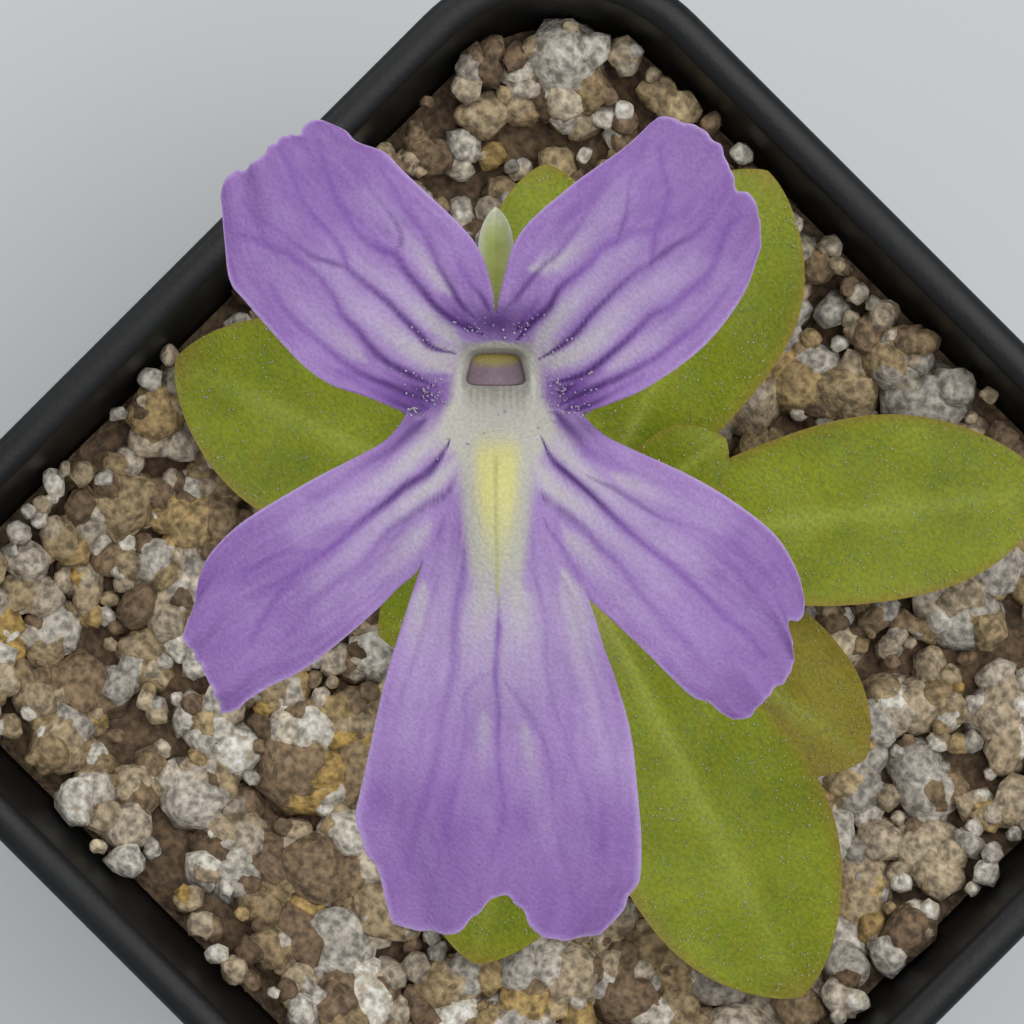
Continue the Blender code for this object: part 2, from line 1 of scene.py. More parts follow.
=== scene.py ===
# %% [markdown]
# # A butterwort in flower
# This lesson dresses a solid model of a small butterwort (Pinguicula) in its square plastic pot.
# The solid model gives every piece its place. Here each piece gets its fine surface and its finish:
# a lilac flower that looks straight up, sticky olive leaves, a gritty soil and a black moulded pot.

import math

import bmesh
import bpy
import numpy as np
from mathutils import Matrix, Vector


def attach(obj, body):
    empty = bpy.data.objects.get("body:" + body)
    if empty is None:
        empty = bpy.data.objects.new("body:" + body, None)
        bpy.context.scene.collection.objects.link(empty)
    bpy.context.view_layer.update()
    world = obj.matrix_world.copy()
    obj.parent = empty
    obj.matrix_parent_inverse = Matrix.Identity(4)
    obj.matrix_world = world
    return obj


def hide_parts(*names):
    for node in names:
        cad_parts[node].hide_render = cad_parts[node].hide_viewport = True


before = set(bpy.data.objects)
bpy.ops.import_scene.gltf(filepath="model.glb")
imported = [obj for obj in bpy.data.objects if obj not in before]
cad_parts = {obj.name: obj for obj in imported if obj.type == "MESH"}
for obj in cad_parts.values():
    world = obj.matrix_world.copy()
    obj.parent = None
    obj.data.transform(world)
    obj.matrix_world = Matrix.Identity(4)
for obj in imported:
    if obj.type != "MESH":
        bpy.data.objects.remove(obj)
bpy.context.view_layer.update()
MM = 0.001

# %% [markdown]
# ## Plan of the plant
# The flower's upper lip points at a corner of the pot, so the plant has a plan of its own: x to the
# flower's right, y towards its upper lip, in millimetres from the pot's axis. One turn of 45 degrees
# lays that plan on the pot. Working in the plan keeps the flower's numbers easy to read.

# %% Turn the plan onto the pot
PLAN_TURN = math.radians(45)
CROWN = np.array([0.6, 5.3, 0.0])
FLOWER = np.array([-3.3, 11.8, 133.0])
DRAW = np.random.default_rng(11)


def to_pot(points, centre=(0.0, 0.0, 0.0)):
    """Moves plan points by centre, then turns them about Z by PLAN_TURN."""
    p = np.asarray(points, float) + np.asarray(centre, float)
    c, s = math.cos(PLAN_TURN), math.sin(PLAN_TURN)
    return np.stack([c * p[..., 0] - s * p[..., 1], s * p[..., 0] + c * p[..., 1], p[..., 2]], axis=-1)


print("the flower's centre stands over", to_pot([FLOWER])[0].round(1), "mm")

# %% [markdown]
# ## Nets and pieces
# Every new surface is a net of points worked out as whole arrays. A net becomes quads. A thin piece
# such as a petal is two nets, a front and a back, stitched together round the open edge.

# %% Nets, sheets and pieces
def net_quads(index):
    """One quad for each cell of a 2-D array of point numbers."""
    corners = [index[:-1, :-1], index[1:, :-1], index[1:, 1:], index[:-1, 1:]]
    return np.stack(corners, axis=-1).reshape(-1, 4)


def close_sheet(front, back, blocks):
    """Joins two sheets of the same net by a quad along each edge that only one face of the net has."""
    count = len(front)
    edges = np.vstack([b[:, [k, (k + 1) % b.shape[1]]] for b in blocks for k in range(b.shape[1])])
    code = edges[:, 0].astype(np.int64) * count + edges[:, 1]
    mirrored = edges[:, 1].astype(np.int64) * count + edges[:, 0]
    rim = edges[~np.isin(code, mirrored)]
    wall = np.stack([rim[:, 1], rim[:, 0], rim[:, 0] + count, rim[:, 1] + count], axis=1)
    return np.vstack([front, back]), [*blocks, *[b[:, ::-1] + count for b in blocks], wall]


def gather(nets):
    """Several (points, blocks of faces) as one, each net's point numbers moved past those before it."""
    points, blocks, count = [], [], 0
    for net_points, net_blocks in nets:
        points.append(net_points)
        blocks += [b + count for b in net_blocks]
        count += len(net_points)
    return np.vstack(points), blocks


def mesh_of(name, points, blocks):
    """A Blender mesh from millimetre points and blocks of faces."""
    mesh = bpy.data.meshes.new(name)
    mesh.from_pydata((points * MM).tolist(), [], [face for block in blocks for face in block.tolist()])
    return mesh


def make_piece(name, points, blocks, material, replaced=(), values=None):
    """A smooth piece on the fixed body, with one value for each point where values are given."""
    mesh = mesh_of(name, points, blocks)
    mesh.shade_smooth()
    for label, numbers in (values or {}).items():
        attribute = mesh.attributes.new(label, "FLOAT", "POINT")
        attribute.data.foreach_set("value", numbers.astype(np.float32))
    mesh.materials.append(material)
    piece = bpy.data.objects.new(name, mesh)
    bpy.context.scene.collection.objects.link(piece)
    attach(piece, "root")
    if replaced:
        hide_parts(*replaced)
    print(name, "has", sum(len(b) * (b.shape[1] - 2) for b in blocks), "triangles")
    return piece


# %% [markdown]
# ## Lines and tubes
# Smooth lines through a few chosen points carry the petals' edges, the veins and the stalk.
# A Catmull-Rom curve passes through each point, so the points can be read straight off a plant. A tube
# is a row of rings along such a line, and so are the pot, the soil and the stigma further on.

# %% Lines through chosen points
ASKEW = (0.31, 0.95, 0.05)  # a direction that no tube here runs along


def smooth_line(points, count):
    """count points evenly spaced by length on the Catmull-Rom curve through the given points."""
    p = np.array(points, float)
    ends = np.vstack([2 * p[0] - p[1], p, 2 * p[-1] - p[-2]])
    t = np.linspace(0, 1, 17)[:-1, None, None]
    a, b, c, d = ends[:-3], ends[1:-2], ends[2:-1], ends[3:]
    curve = 0.5 * (2 * b + (c - a) * t + (2 * a - 5 * b + 4 * c - d) * t**2 + (3 * b - a - 3 * c + d) * t**3)
    curve = np.vstack([curve.transpose(1, 0, 2).reshape(-1, p.shape[1]), p[-1:]])
    along = np.concatenate([[0], np.cumsum(np.linalg.norm(np.diff(curve, axis=0), axis=1))])
    wanted = np.linspace(0, along[-1], count)
    return np.stack([np.interp(wanted, along, curve[:, k]) for k in range(p.shape[1])], axis=1)


def capped_rings(rings, first, last):
    """Rings of points joined by quads; a fan to one point closes each end."""
    around = rings.shape[1]
    points = np.vstack([rings.reshape(-1, 3), [first], [last]])
    index = np.arange(len(rings))[:, None] * around + (np.arange(around + 1) % around)[None]
    foot = np.stack([np.full(around, len(points) - 2), index[0, 1:], index[0, :-1]], axis=1)
    head = np.stack([np.full(around, len(points) - 1), index[-1, :-1], index[-1, 1:]], axis=1)
    return points, [net_quads(index)[:, ::-1], foot, head]


def tube_net(line, radii, sides):
    """Rings round each point of a line, square to it: point + radius * (cos * across + sin * up)."""
    line = np.asarray(line, float)
    along = np.gradient(line, axis=0)
    along /= np.linalg.norm(along, axis=1)[:, None]
    across = np.cross(along, ASKEW)
    across /= np.linalg.norm(across, axis=1)[:, None]
    up = np.cross(along, across)
    turns = np.linspace(0, 2 * math.pi, sides, endpoint=False)[None, :, None]
    spokes = np.cos(turns) * across[:, None] + np.sin(turns) * up[:, None]
    return capped_rings(line[:, None] + np.asarray(radii)[:, None, None] * spokes, line[0], line[-1])


def smooth_step(value, low, high):
    """0 below low, 1 above high, and 3s^2 - 2s^3 between them, where s is the share of the way."""
    s = np.clip((value - low) / (high - low), 0, 1)
    return s * s * (3 - 2 * s)


print("a line through three points:", smooth_line([(0, 0), (1, 1), (2, 0)], 3).round(2).tolist())

# %% [markdown]
# ## Colours and nodes
# Colours are written as the hex values an eye-dropper gives, and turned to linear light in one place.
# One function adds a node, sets it up and links it, so each material reads as a short recipe.

# %% Colours and nodes
MIX_SHARE, MIX_UNDER, MIX_OVER, MIX_RESULT = 0, 6, 7, 2  # the colour sockets of Blender's Mix node


def linear(hex_colour):
    """sRGB hex to linear: each channel c is c/12.92 up to 0.04045, and ((c+0.055)/1.055)^2.4 above it."""
    channels = [int(hex_colour[k:k + 2], 16) / 255 for k in (1, 3, 5)]
    return [c / 12.92 if c <= 0.04045 else ((c + 0.055) / 1.055) ** 2.4 for c in channels] + [1.0]


def add_node(material, kind, inputs=None, **settings):
    """Adds a node to a material; each input is a value, or another node's output to link."""
    tree = material.node_tree
    node = tree.nodes.new(kind)
    for key, value in settings.items():
        setattr(node, key, value)
    for key, value in (inputs or {}).items():
        if isinstance(value, bpy.types.NodeSocket):
            tree.links.new(value, node.inputs[key])
        else:
            node.inputs[key].default_value = value
    return node


def start_material(name, **shader_values):
    """A material and its Principled shader; each keyword sets one socket, underscores read as spaces."""
    material = bpy.data.materials.new(name)
    material.use_nodes = True
    shader = material.node_tree.nodes["Principled BSDF"]
    for key, value in shader_values.items():
        shader.inputs[key.replace("_", " ")].default_value = value
    return material, shader


def paint_layers(material, colour, layers):
    """Lays colours over a first one: each layer is a share (a point value's name or an output) and a hex."""
    for share, hex_colour in layers:
        if isinstance(share, str):
            share = add_node(material, "ShaderNodeAttribute", attribute_name=share).outputs["Fac"]
        inputs = {MIX_SHARE: share, MIX_UNDER: colour, MIX_OVER: linear(hex_colour)}
        colour = add_node(material, "ShaderNodeMix", inputs, data_type="RGBA").outputs[MIX_RESULT]
    return colour


def speckled(material, colour, strength, pattern):
    """Overlays a grey pattern on a colour: lighter where the pattern is light, darker where it is dark."""
    inputs = {MIX_SHARE: strength, MIX_UNDER: colour, MIX_OVER: pattern}
    mix = add_node(material, "ShaderNodeMix", inputs, data_type="RGBA", blend_type="OVERLAY")
    return mix.outputs[MIX_RESULT]


def share_of(material, value, strength):
    """A value times a strength between 0 and 1."""
    return add_node(material, "ShaderNodeMath", {0: value, 1: strength}, operation="MULTIPLY").outputs[0]


print("mid grey in linear light:", round(linear("#808080")[0], 3))

# %% [markdown]
# ## Patterns
# A pattern has a real size. Blender's noise takes its scale in waves per metre here, because the
# pieces are in metres, so a 4 mm patch is a scale of 250 and a 0.2 mm cell one of 5000.

# %% Noise at a real size
BUMP_STRENGTH = 0.6


def noise_share(material, size_mm, low=0.35, high=0.65, detail=3.0):
    """Noise with patches of about size_mm, its values from low to high spread over 0 to 1."""
    place = add_node(material, "ShaderNodeTexCoord").outputs["Object"]
    scale = 1 / (size_mm * MM)
    noise = add_node(material, "ShaderNodeTexNoise", {"Vector": place, "Scale": scale, "Detail": detail})
    spread = {"Value": noise.outputs["Fac"], "From Min": low, "From Max": high}
    return add_node(material, "ShaderNodeMapRange", spread).outputs["Result"]


def rough_and_bump(material, shader, share, rough_low, rough_high, height, depth_mm):
    """Links roughness to one share and a bump of depth_mm to another."""
    rough = {"Value": share, "To Min": rough_low, "To Max": rough_high}
    rough = add_node(material, "ShaderNodeMapRange", rough).outputs["Result"]
    material.node_tree.links.new(rough, shader.inputs["Roughness"])
    bump = {"Height": height, "Strength": BUMP_STRENGTH, "Distance": depth_mm * MM}
    bump = add_node(material, "ShaderNodeBump", bump).outputs["Normal"]
    material.node_tree.links.new(bump, shader.inputs["Normal"])


print("a 4 mm patch is a noise scale of", 1 / (4 * MM))

# %% [markdown]
# ## The petals' outlines
# The five lobes are one piece of tissue: two short ones above, two at the sides and a long one below
# that ends in a notch. Each outline runs out along one side, round the waved tip and back down the
# other side. The points are the solid model's own, in millimetres from the middle of the throat.

# %% Outline points
LOBES = {
    "upper_right": {
        "base": [(3.1, -1.0), (2.4, 1.7), (0.0, 2.6)],
        "first_side": [(3.1, -1.0), (4.3, -0.6), (5.6, 0.0), (7.5, 1.4), (8.9, 3.2), (9.6, 5.0)],
        "tip": [
            (9.6, 5.0), (9.5, 6.2), (9.2, 6.8), (8.7, 7.1), (8.5, 7.7), (8.1, 8.6), (7.3, 9.3), (6.5, 9.6),
            (6.0, 9.75), (5.6, 9.5),
        ],
        "second_side": [(0.0, 2.6), (0.25, 3.7), (0.9, 5.5), (2.6, 7.1), (4.4, 8.4), (5.1, 9.0), (5.6, 9.5)],
    },
    "upper_left": {
        "base": [(0.0, 2.6), (-2.4, 1.7), (-3.2, -1.0)],
        "first_side": [
            (0.0, 2.6), (-0.15, 3.6), (-0.6, 4.9), (-1.4, 5.9), (-3.3, 7.7), (-4.0, 8.4), (-5.0, 8.8),
            (-5.4, 9.2), (-6.0, 9.5),
        ],
        "tip": [
            (-6.0, 9.5), (-6.4, 9.6), (-6.8, 9.5), (-7.1, 9.1), (-7.7, 9.0), (-8.1, 8.6), (-8.4, 8.3),
            (-8.9, 7.9), (-9.5, 7.7), (-9.8, 7.4), (-9.95, 6.9),
        ],
        "second_side": [
            (-3.2, -1.0), (-4.7, -0.4), (-5.9, 0.0), (-6.8, 0.6), (-7.6, 1.4), (-9.0, 3.0), (-9.6, 3.8),
            (-9.8, 5.3), (-9.95, 6.9),
        ],
    },
    "lower_left": {
        "base": [(-3.2, -1.0), (-3.2, -3.8), (-2.6, -6.3)],
        "first_side": [
            (-3.2, -1.0), (-3.6, -1.6), (-4.3, -2.2), (-6.6, -3.4), (-8.8, -4.7), (-9.7, -5.4),
            (-10.4, -6.2), (-10.75, -7.0),
        ],
        "tip": [
            (-10.75, -7.0), (-11.0, -8.2), (-11.25, -8.8), (-11.2, -9.3), (-10.8, -9.9), (-10.1, -11.3),
            (-10.0, -11.9),
        ],
        "second_side": [
            (-2.6, -6.3), (-2.9, -6.8), (-3.5, -7.3), (-4.3, -8.1), (-5.8, -9.4), (-7.0, -10.3),
            (-8.2, -10.9), (-9.0, -11.4), (-9.4, -11.75), (-10.0, -11.9),
        ],
    },
    "lower": {
        "base": [(-2.6, -6.3), (0.3, -6.9), (3.35, -7.7)],
        "first_side": [
            (-2.6, -6.3), (-3.15, -7.9), (-3.8, -10.0), (-4.2, -11.5), (-4.8, -14.2), (-5.1, -15.6),
            (-4.9, -16.4), (-4.75, -17.0), (-4.35, -17.5), (-4.15, -18.2), (-4.0, -18.9), (-3.8, -19.6),
        ],
        "tip": [
            (-3.8, -19.6), (-3.0, -19.85), (-1.5, -19.95), (-0.6, -19.1), (-0.1, -18.65), (0.45, -18.55),
            (0.8, -18.9), (1.5, -19.9), (2.2, -20.2), (3.8, -20.1),
        ],
        "second_side": [
            (3.35, -7.7), (3.6, -8.4), (3.9, -9.4), (4.3, -10.5), (4.9, -12.6), (5.2, -15.2), (5.3, -16.6),
            (5.25, -18.0), (4.85, -18.6), (4.7, -19.1), (4.2, -19.7), (3.8, -20.1),
        ],
    },
    "lower_right": {
        "base": [(3.35, -7.7), (3.7, -4.2), (3.1, -1.0)],
        "first_side": [
            (3.35, -7.7), (3.8, -8.1), (5.2, -9.4), (6.6, -10.8), (7.2, -11.3), (7.7, -11.45),
            (8.1, -11.8), (8.6, -12.1),
        ],
        "tip": [
            (8.6, -12.1), (9.2, -12.0), (9.8, -11.3), (10.7, -10.4), (10.75, -9.4), (10.6, -8.6),
            (10.9, -8.5), (11.15, -8.3), (11.2, -7.8),
        ],
        "second_side": [
            (3.1, -1.0), (3.8, -1.7), (4.7, -2.2), (6.9, -3.2), (8.6, -4.2), (10.1, -5.4), (10.9, -6.7),
            (11.2, -7.8),
        ],
    },
}
print(len(LOBES), "lobes")

# %% [markdown]
# ## The veins
# Dark veins leave the throat and fork towards the edge, fading as they go.
# Each line is a few points in the flower's plan, with its half width in millimetres and its strength.
# Painting by distance to a line gives soft, tapering marks that stay crisp at any size.

# %% Vein lines
VEINS = {
    "upper_left": [
        (0.16, 1, [
            (-0.5, 1.9), (-1.2, 2.2), (-2.1, 2.8), (-2.7, 3.5), (-3.3, 4.2), (-3.6, 4.7), (-4.2, 4.9),
            (-4.8, 5.3), (-5.3, 6), (-5.8, 6.9), (-6.2, 7.9), (-6.4, 8.8),
        ]),
        (0.1, 0.45, [(-3.6, 4.7), (-3.4, 5.4), (-3.9, 6.3), (-4.6, 7.2), (-4.9, 8.2)]),
        (0.15, 0.95, [
            (-1.5, 1.2), (-2.3, 1.4), (-2.8, 1.9), (-3.4, 2.5), (-4, 3.1), (-4.6, 3.6), (-5.3, 4.2),
            (-5.5, 4.8), (-5.9, 5.4), (-6.5, 6), (-7, 6.8), (-7.4, 7.8), (-7.8, 8.5),
        ]),
        (0.12, 0.5, [(-5.3, 4.2), (-5.9, 4.4), (-6.7, 4.7), (-7.6, 5.4), (-8.5, 6), (-9.1, 6.6)]),
        (0.16, 1, [
            (-2.2, 0), (-3.1, 0.4), (-4, 0.9), (-4.6, 1.5), (-5, 2), (-5.5, 2.5), (-5.8, 3.1),
            (-6.4, 3.9), (-7.2, 4.5), (-8.1, 5), (-9.1, 5.4),
        ]),
        (0.15, 1, [
            (-2.1, -0.6), (-3.1, -0.3), (-3.8, 0), (-4.6, 0.3), (-5.3, 0.7), (-6.4, 1.6), (-7.5, 2.6),
            (-8.1, 3.6),
        ]),
        (0.16, 0.9, [(-2.6, -1), (-3.4, -0.7), (-4.2, -0.3), (-4.8, 0), (-5.6, 0.5)]),
        (0.14, 0.9, [(-2.4, -0.3), (-3.2, 0.05), (-4, 0.5)]),
        (0.13, 0.8, [(-2.4, -0.85), (-3.1, -0.55), (-3.9, -0.15)]),
        (0.13, 0.9, [(-0.7, 2), (-1.3, 2.45), (-1.9, 3.1)]),
        (0.12, 0.6, [(-0.2, 2.7), (-0.5, 3.2), (-1, 3.8), (-1.5, 4.7)]),
        (0.14, 0.7, [
            (-0.8, 2.5), (-1.3, 3), (-1.7, 3.7), (-2.1, 4.4), (-2.4, 5.1), (-3, 6), (-3.6, 6.9),
            (-4.1, 7.8),
        ]),
    ],
    "upper_right": [
        (0.17, 1, [
            (0.8, 1.7), (1.3, 2.3), (1.9, 2.8), (2.3, 3.5), (2.8, 3.9), (3.4, 4.4), (3.8, 4.9),
            (4.4, 5.2), (5, 5.5), (5.6, 5.6),
        ]),
        (0.15, 0.95, [
            (1.6, 1), (2.3, 1.4), (2.9, 1.9), (3.4, 2.5), (3.9, 3), (4.5, 3.6), (5.1, 4.1), (5.6, 4.4),
            (5.7, 5.1), (5.8, 5.7), (6.1, 6.3), (6.2, 7), (6, 7.8), (5.9, 8.6),
        ]),
        (0.13, 0.6, [(5.6, 4.4), (6.4, 5), (7.1, 5.4), (7.7, 6), (8.2, 6.8), (8.4, 7.6)]),
        (0.16, 1, [
            (2, 0.1), (2.9, 0.3), (3.5, 0.6), (4.1, 1.1), (4.7, 1.6), (5.1, 2), (5.6, 2.5), (6.3, 2.8),
            (7.1, 3.5), (7.8, 4.2), (8.1, 5), (8.4, 5.7), (9, 6.1),
        ]),
        (0.15, 1, [
            (2.3, -0.7), (3.1, -0.3), (3.8, 0), (4.7, 0.4), (5.6, 0.9), (6.7, 1.7), (7.6, 2.5),
            (8.4, 3.5),
        ]),
        (0.14, 0.9, [(2.9, -0.9), (3.6, -0.6), (4.4, -0.2), (5.3, 0.3)]),
        (0.14, 0.9, [(2.3, -0.25), (3, 0.1), (3.8, 0.5)]),
        (0.13, 0.8, [(2.5, -0.9), (3.2, -0.55), (4, -0.15)]),
        (0.13, 0.9, [(0.75, 2), (1.1, 2.5), (1.5, 3.1)]),
        (0.12, 0.6, [
            (0.3, 2.7), (0.7, 3.1), (1.1, 3.6), (1.7, 4.3), (2.2, 4.7), (2.9, 5.6), (3.5, 6.6),
            (4.1, 7.8), (4.7, 8.6),
        ]),
        (0.1, 0.4, [(4.4, 5.2), (4.7, 6.2), (4.8, 7.1), (5.1, 8), (5.4, 8.8)]),
    ],
    "lower_left": [
        (0.17, 1, [
            (-1.7, -2.1), (-2, -2.6), (-2.5, -3.2), (-3.2, -3.6), (-3.9, -4.2), (-4.7, -4.8),
            (-5.5, -5.5), (-6.1, -6), (-6.7, -6.4), (-7.5, -7.1), (-8, -7.8), (-8.4, -8.4), (-8.8, -9.2),
        ]),
        (0.22, 0.6, [(-2.5, -1.2), (-3.1, -1.7), (-3.9, -2.4), (-4.6, -2.8), (-5.6, -3.5), (-6.7, -4)]),
        (0.12, 0.35, [(-6.1, -6), (-7, -6), (-7.9, -6.1), (-8.8, -6.7), (-9.4, -7.2)]),
        (0.18, 0.5, [
            (-1.4, -3.3), (-1.8, -3.9), (-2.5, -4.3), (-3.2, -4.8), (-3.9, -5.3), (-4.7, -6.3),
            (-5.7, -7.1), (-6.7, -8), (-7.5, -8.9),
        ]),
        (0.1, 0.4, [(-1.9, -4.9), (-2.2, -5.7), (-2.7, -6.4)]),
    ],
    "lower_right": [
        (0.16, 1, [
            (1.7, -2), (2, -2.6), (2.6, -3.2), (3.4, -3.9), (4, -4.5), (4.7, -5.2), (5.4, -5.8),
            (6.2, -6.4), (6.9, -7), (7.6, -7.7), (8.3, -8.4), (9.1, -9), (9.7, -9.8),
        ]),
        (0.24, 0.7, [(2.2, -1), (2.8, -1.7), (3.4, -2.4), (4, -2.7), (4.8, -3.1)]),
        (0.11, 0.4, [
            (3.3, -3.3), (4.2, -3.7), (5, -4.2), (5.8, -4.7), (6.6, -5), (7.6, -5.3), (8.7, -6.1),
            (9.7, -7.1),
        ]),
        (0.17, 0.55, [
            (1.5, -3.9), (2.5, -4.6), (3.3, -5.3), (3.9, -6), (4.4, -6.4), (5.1, -7.4), (6, -8.4),
            (6.9, -9.3), (7.6, -10.2),
        ]),
        (0.1, 0.5, [(1.8, -5), (2.5, -6), (3, -6.9), (3.5, -7.8)]),
    ],
    "lower": [
        (0.13, 0.9, [
            (0.1, -7.7), (0.1, -8.9), (0, -10), (0, -10.7), (0.1, -11.8), (0.1, -13.7), (0.3, -15.5),
            (-0.1, -17),
        ]),
        (0.12, 0.4, [
            (0, -10.3), (-0.6, -10.6), (-1.1, -11.2), (-1.1, -12.2), (-1.3, -13.7), (-1.6, -15.2),
            (-2, -16.9), (-2.4, -18.8),
        ]),
        (0.12, 0.4, [
            (0.1, -10.5), (0.5, -10.9), (1, -11.6), (1.7, -12.8), (2, -14), (2.1, -15.5), (2.5, -17.4),
            (2.9, -19),
        ]),
        (0.2, 0.65, [
            (-1.1, -5.8), (-1.2, -6.9), (-1.4, -7.9), (-1.5, -9.1), (-1.5, -10.2), (-1.9, -11.8),
            (-2.2, -13.7), (-2.7, -15.5), (-3.3, -17.6),
        ]),
        (0.11, 0.45, [
            (1, -5.9), (1.5, -7.2), (1.8, -8.6), (1.8, -10), (2.1, -11.5), (2.7, -13.2), (3.2, -14.6),
            (3.9, -16.5), (4.3, -17.8),
        ]),
        (0.12, 0.35, [
            (-1.9, -6.5), (-2.3, -7.7), (-2.8, -9.5), (-3.5, -11.5), (-3.9, -13.7), (-4.4, -15.5),
        ]),
        (0.12, 0.3, [(2.3, -6.6), (2.9, -8.2), (3.4, -10), (4.1, -12.3), (4.5, -14.6), (4.7, -16)]),
    ],
}
print(sum(len(lines) for lines in VEINS.values()), "veins")

# %% [markdown]
# Between the veins run pale streaks, wider and softer. They are strongest near the throat, where the
# tissue is almost white, and they get the same kind of table.

# %% Pale streaks
PALE_STREAKS = {
    "upper_left": [
        (0.34, 1, [(-1.3, 1.6), (-2.4, 2.4), (-3.4, 3.3), (-4.2, 3.8), (-5, 4.4)]),
        (0.42, 1, [(-1.7, 0.6), (-3.1, 1.4), (-4, 2.1), (-4.9, 2.8), (-5.5, 3.5), (-6.1, 4.1)]),
        (0.3, 0.6, [(-1.6, 3.3), (-2.4, 4.2), (-3, 5), (-3.8, 6), (-4.6, 6.9)]),
        (0.35, 0.35, [(-4.7, 0.9), (-5.9, 1.9), (-7.1, 3), (-7.8, 3.9)]),
    ],
    "upper_right": [
        (0.36, 1, [(1.4, 1.4), (2.3, 2.5), (3.1, 3.3), (4, 4.2), (4.8, 4.8)]),
        (0.42, 1, [(2.1, 0.7), (3.5, 1.6), (4.4, 2.5), (5.1, 3.1), (5.9, 3.6), (7.1, 4.4)]),
        (0.34, 0.7, [(1.3, 4.2), (2.3, 4.5), (3.2, 5.3), (4.1, 6.3), (4.5, 7)]),
        (0.35, 0.35, [(4.1, 0.6), (5.9, 1.8), (7.4, 2.8), (8.2, 3.8)]),
    ],
    "lower_left": [
        (0.36, 1, [(-2.1, -1.7), (-3.2, -2.8), (-3.9, -3.4), (-4.7, -3.9), (-5.9, -4.6), (-7, -5.2)]),
        (0.34, 1, [(-1.5, -2.8), (-2.4, -3.7), (-3.3, -4.4), (-4.1, -5), (-5.1, -6), (-6.3, -7.1)]),
        (0.45, 0.5, [(-2.4, -5), (-3.5, -6.2), (-4.7, -7.2), (-6.1, -8.1)]),
    ],
    "lower_right": [
        (0.36, 0.9, [(1.8, -1.4), (2.6, -2.6), (3.6, -3.5), (4.8, -4.6), (6, -5.5), (7.4, -6.5)]),
        (0.4, 1, [(1.4, -2.8), (2.1, -3.7), (3.3, -4.6), (4, -5.3), (5, -6.1), (5.9, -7.1)]),
        (0.4, 0.6, [(2.5, -5.3), (3.5, -6.3), (4.4, -7.4), (5.4, -8.3)]),
        (0.35, 0.5, [(4.2, -3.2), (5.6, -3.9), (6.8, -4.4), (7.9, -5)]),
    ],
    "lower": [
        (0.55, 0.95, [(-0.4, -7.2), (-0.6, -8.6), (-0.6, -10.2), (-0.5, -11.8)]),
        (0.55, 0.95, [(0.8, -7.2), (0.9, -8.6), (1.1, -10.2), (0.9, -11.8)]),
        (0.5, 0.6, [(-2.6, -7.2), (-2.8, -8.6), (-2.9, -10.5), (-3.2, -12.3)]),
        (0.55, 0.7, [(2.5, -6.8), (2.9, -8.2), (3.2, -10), (3.7, -12), (4.2, -14.1)]),
        (0.3, 0.45, [(-0.4, -11.8), (-0.5, -13.7), (-0.7, -15.1)]),
        (0.3, 0.4, [(1, -12.2), (1.4, -14.1), (1.8, -16)]),
    ],
}
print(sum(len(lines) for lines in PALE_STREAKS.values()), "pale streaks")

# %% [markdown]
# The mark at a point is the strongest of its lobe's lines there. A line fades along its length, and
# across it by a bell curve, so a vein is dark at the throat and melts into the lilac near the edge.

# %% Marks from lines
VEIN_END = (0.85, 0.45)  # width and strength at a line's end, as shares of those at its start
STREAK_END = (1.5, 0.3)


def line_marks(at, lines, end_width, end_strength):
    """The largest strength * exp(-(distance / width)^2) over the lines, and a narrower one at their roots."""
    marks, roots = np.zeros(len(at)), np.zeros(len(at))
    for width, strength, points in lines:
        path = smooth_line(points, 64)
        away = np.linalg.norm(at[:, None] - path[None], axis=2)
        gone = away.argmin(axis=1) / (len(path) - 1)
        reach = width * (1 + (end_width - 1) * gone) * (0.35 + 0.65 * smooth_step(gone, 0, 0.12))
        fade = strength * (1 + (end_strength - 1) * gone)
        across = (away.min(axis=1) / reach) ** 2
        marks = np.maximum(marks, fade * np.exp(-across))
        roots = np.maximum(roots, fade * np.exp(-1.6 * across) * (1 - smooth_step(gone, 0.15, 0.65)))
    return marks, roots


print("a mark on a line, and 0.1 mm off it:",
      line_marks(np.array([(0.5, 0), (0.5, 0.1)]), [(0.1, 1, [(0, 0), (1, 0)])], 1, 1)[0].round(2))

# %% [markdown]
# ## The flower's face
# The face dips into the throat, swells into the palate below it and turns back towards the tips.
# One height formula serves every lobe, so the lobes meet without a step. Each lobe then gets its own
# crown, a ruffle near its tip and a shallow furrow along each vein.

# %% Height of the flower's face
def limb_height(x, y):
    """A bell-shaped dip at the throat, a rise that levels off, a slow droop, and the palate's swelling."""
    r = np.hypot(x, y - 0.3)
    funnel = -1.6 * np.exp(-((r / 2.2) ** 2))
    spread = 0.9 * (1 - np.exp(-((r / 6) ** 2))) - 0.006 * r**2
    palate = 0.9 * np.exp(-((x / 1.3) ** 2) - ((y + 4.2) / 2.8) ** 2)
    waves = 0.12 * np.sin(1.1 * x + 0.6 * y) * np.clip(r / 8 - 0.5, 0, 1)
    return funnel + spread + palate + waves


def lobe_net(lobe, columns, rows):
    """A Coons patch: the blend of base to tip plus the blend of side to side, less the corners' blend."""
    base = smooth_line(lobe["base"], columns + 1)[None]
    tip = smooth_line(lobe["tip"], columns + 1)[None]
    first = smooth_line(lobe["first_side"], rows + 1)[:, None]
    second = smooth_line(lobe["second_side"], rows + 1)[:, None]
    u = np.linspace(0, 1, columns + 1)[None, :, None]
    v = np.linspace(0, 1, rows + 1)[:, None, None]
    corners = ((1 - u) * (1 - v) * base[:, :1] + u * (1 - v) * base[:, -1:]
               + (1 - u) * v * tip[:, :1] + u * v * tip[:, -1:])
    return (1 - v) * base + v * tip + (1 - u) * first + u * second - corners


heights = limb_height(np.zeros(3), np.array([0.3, -4.2, -19]))
print("the face at the throat, palate and tip:", heights.round(2))

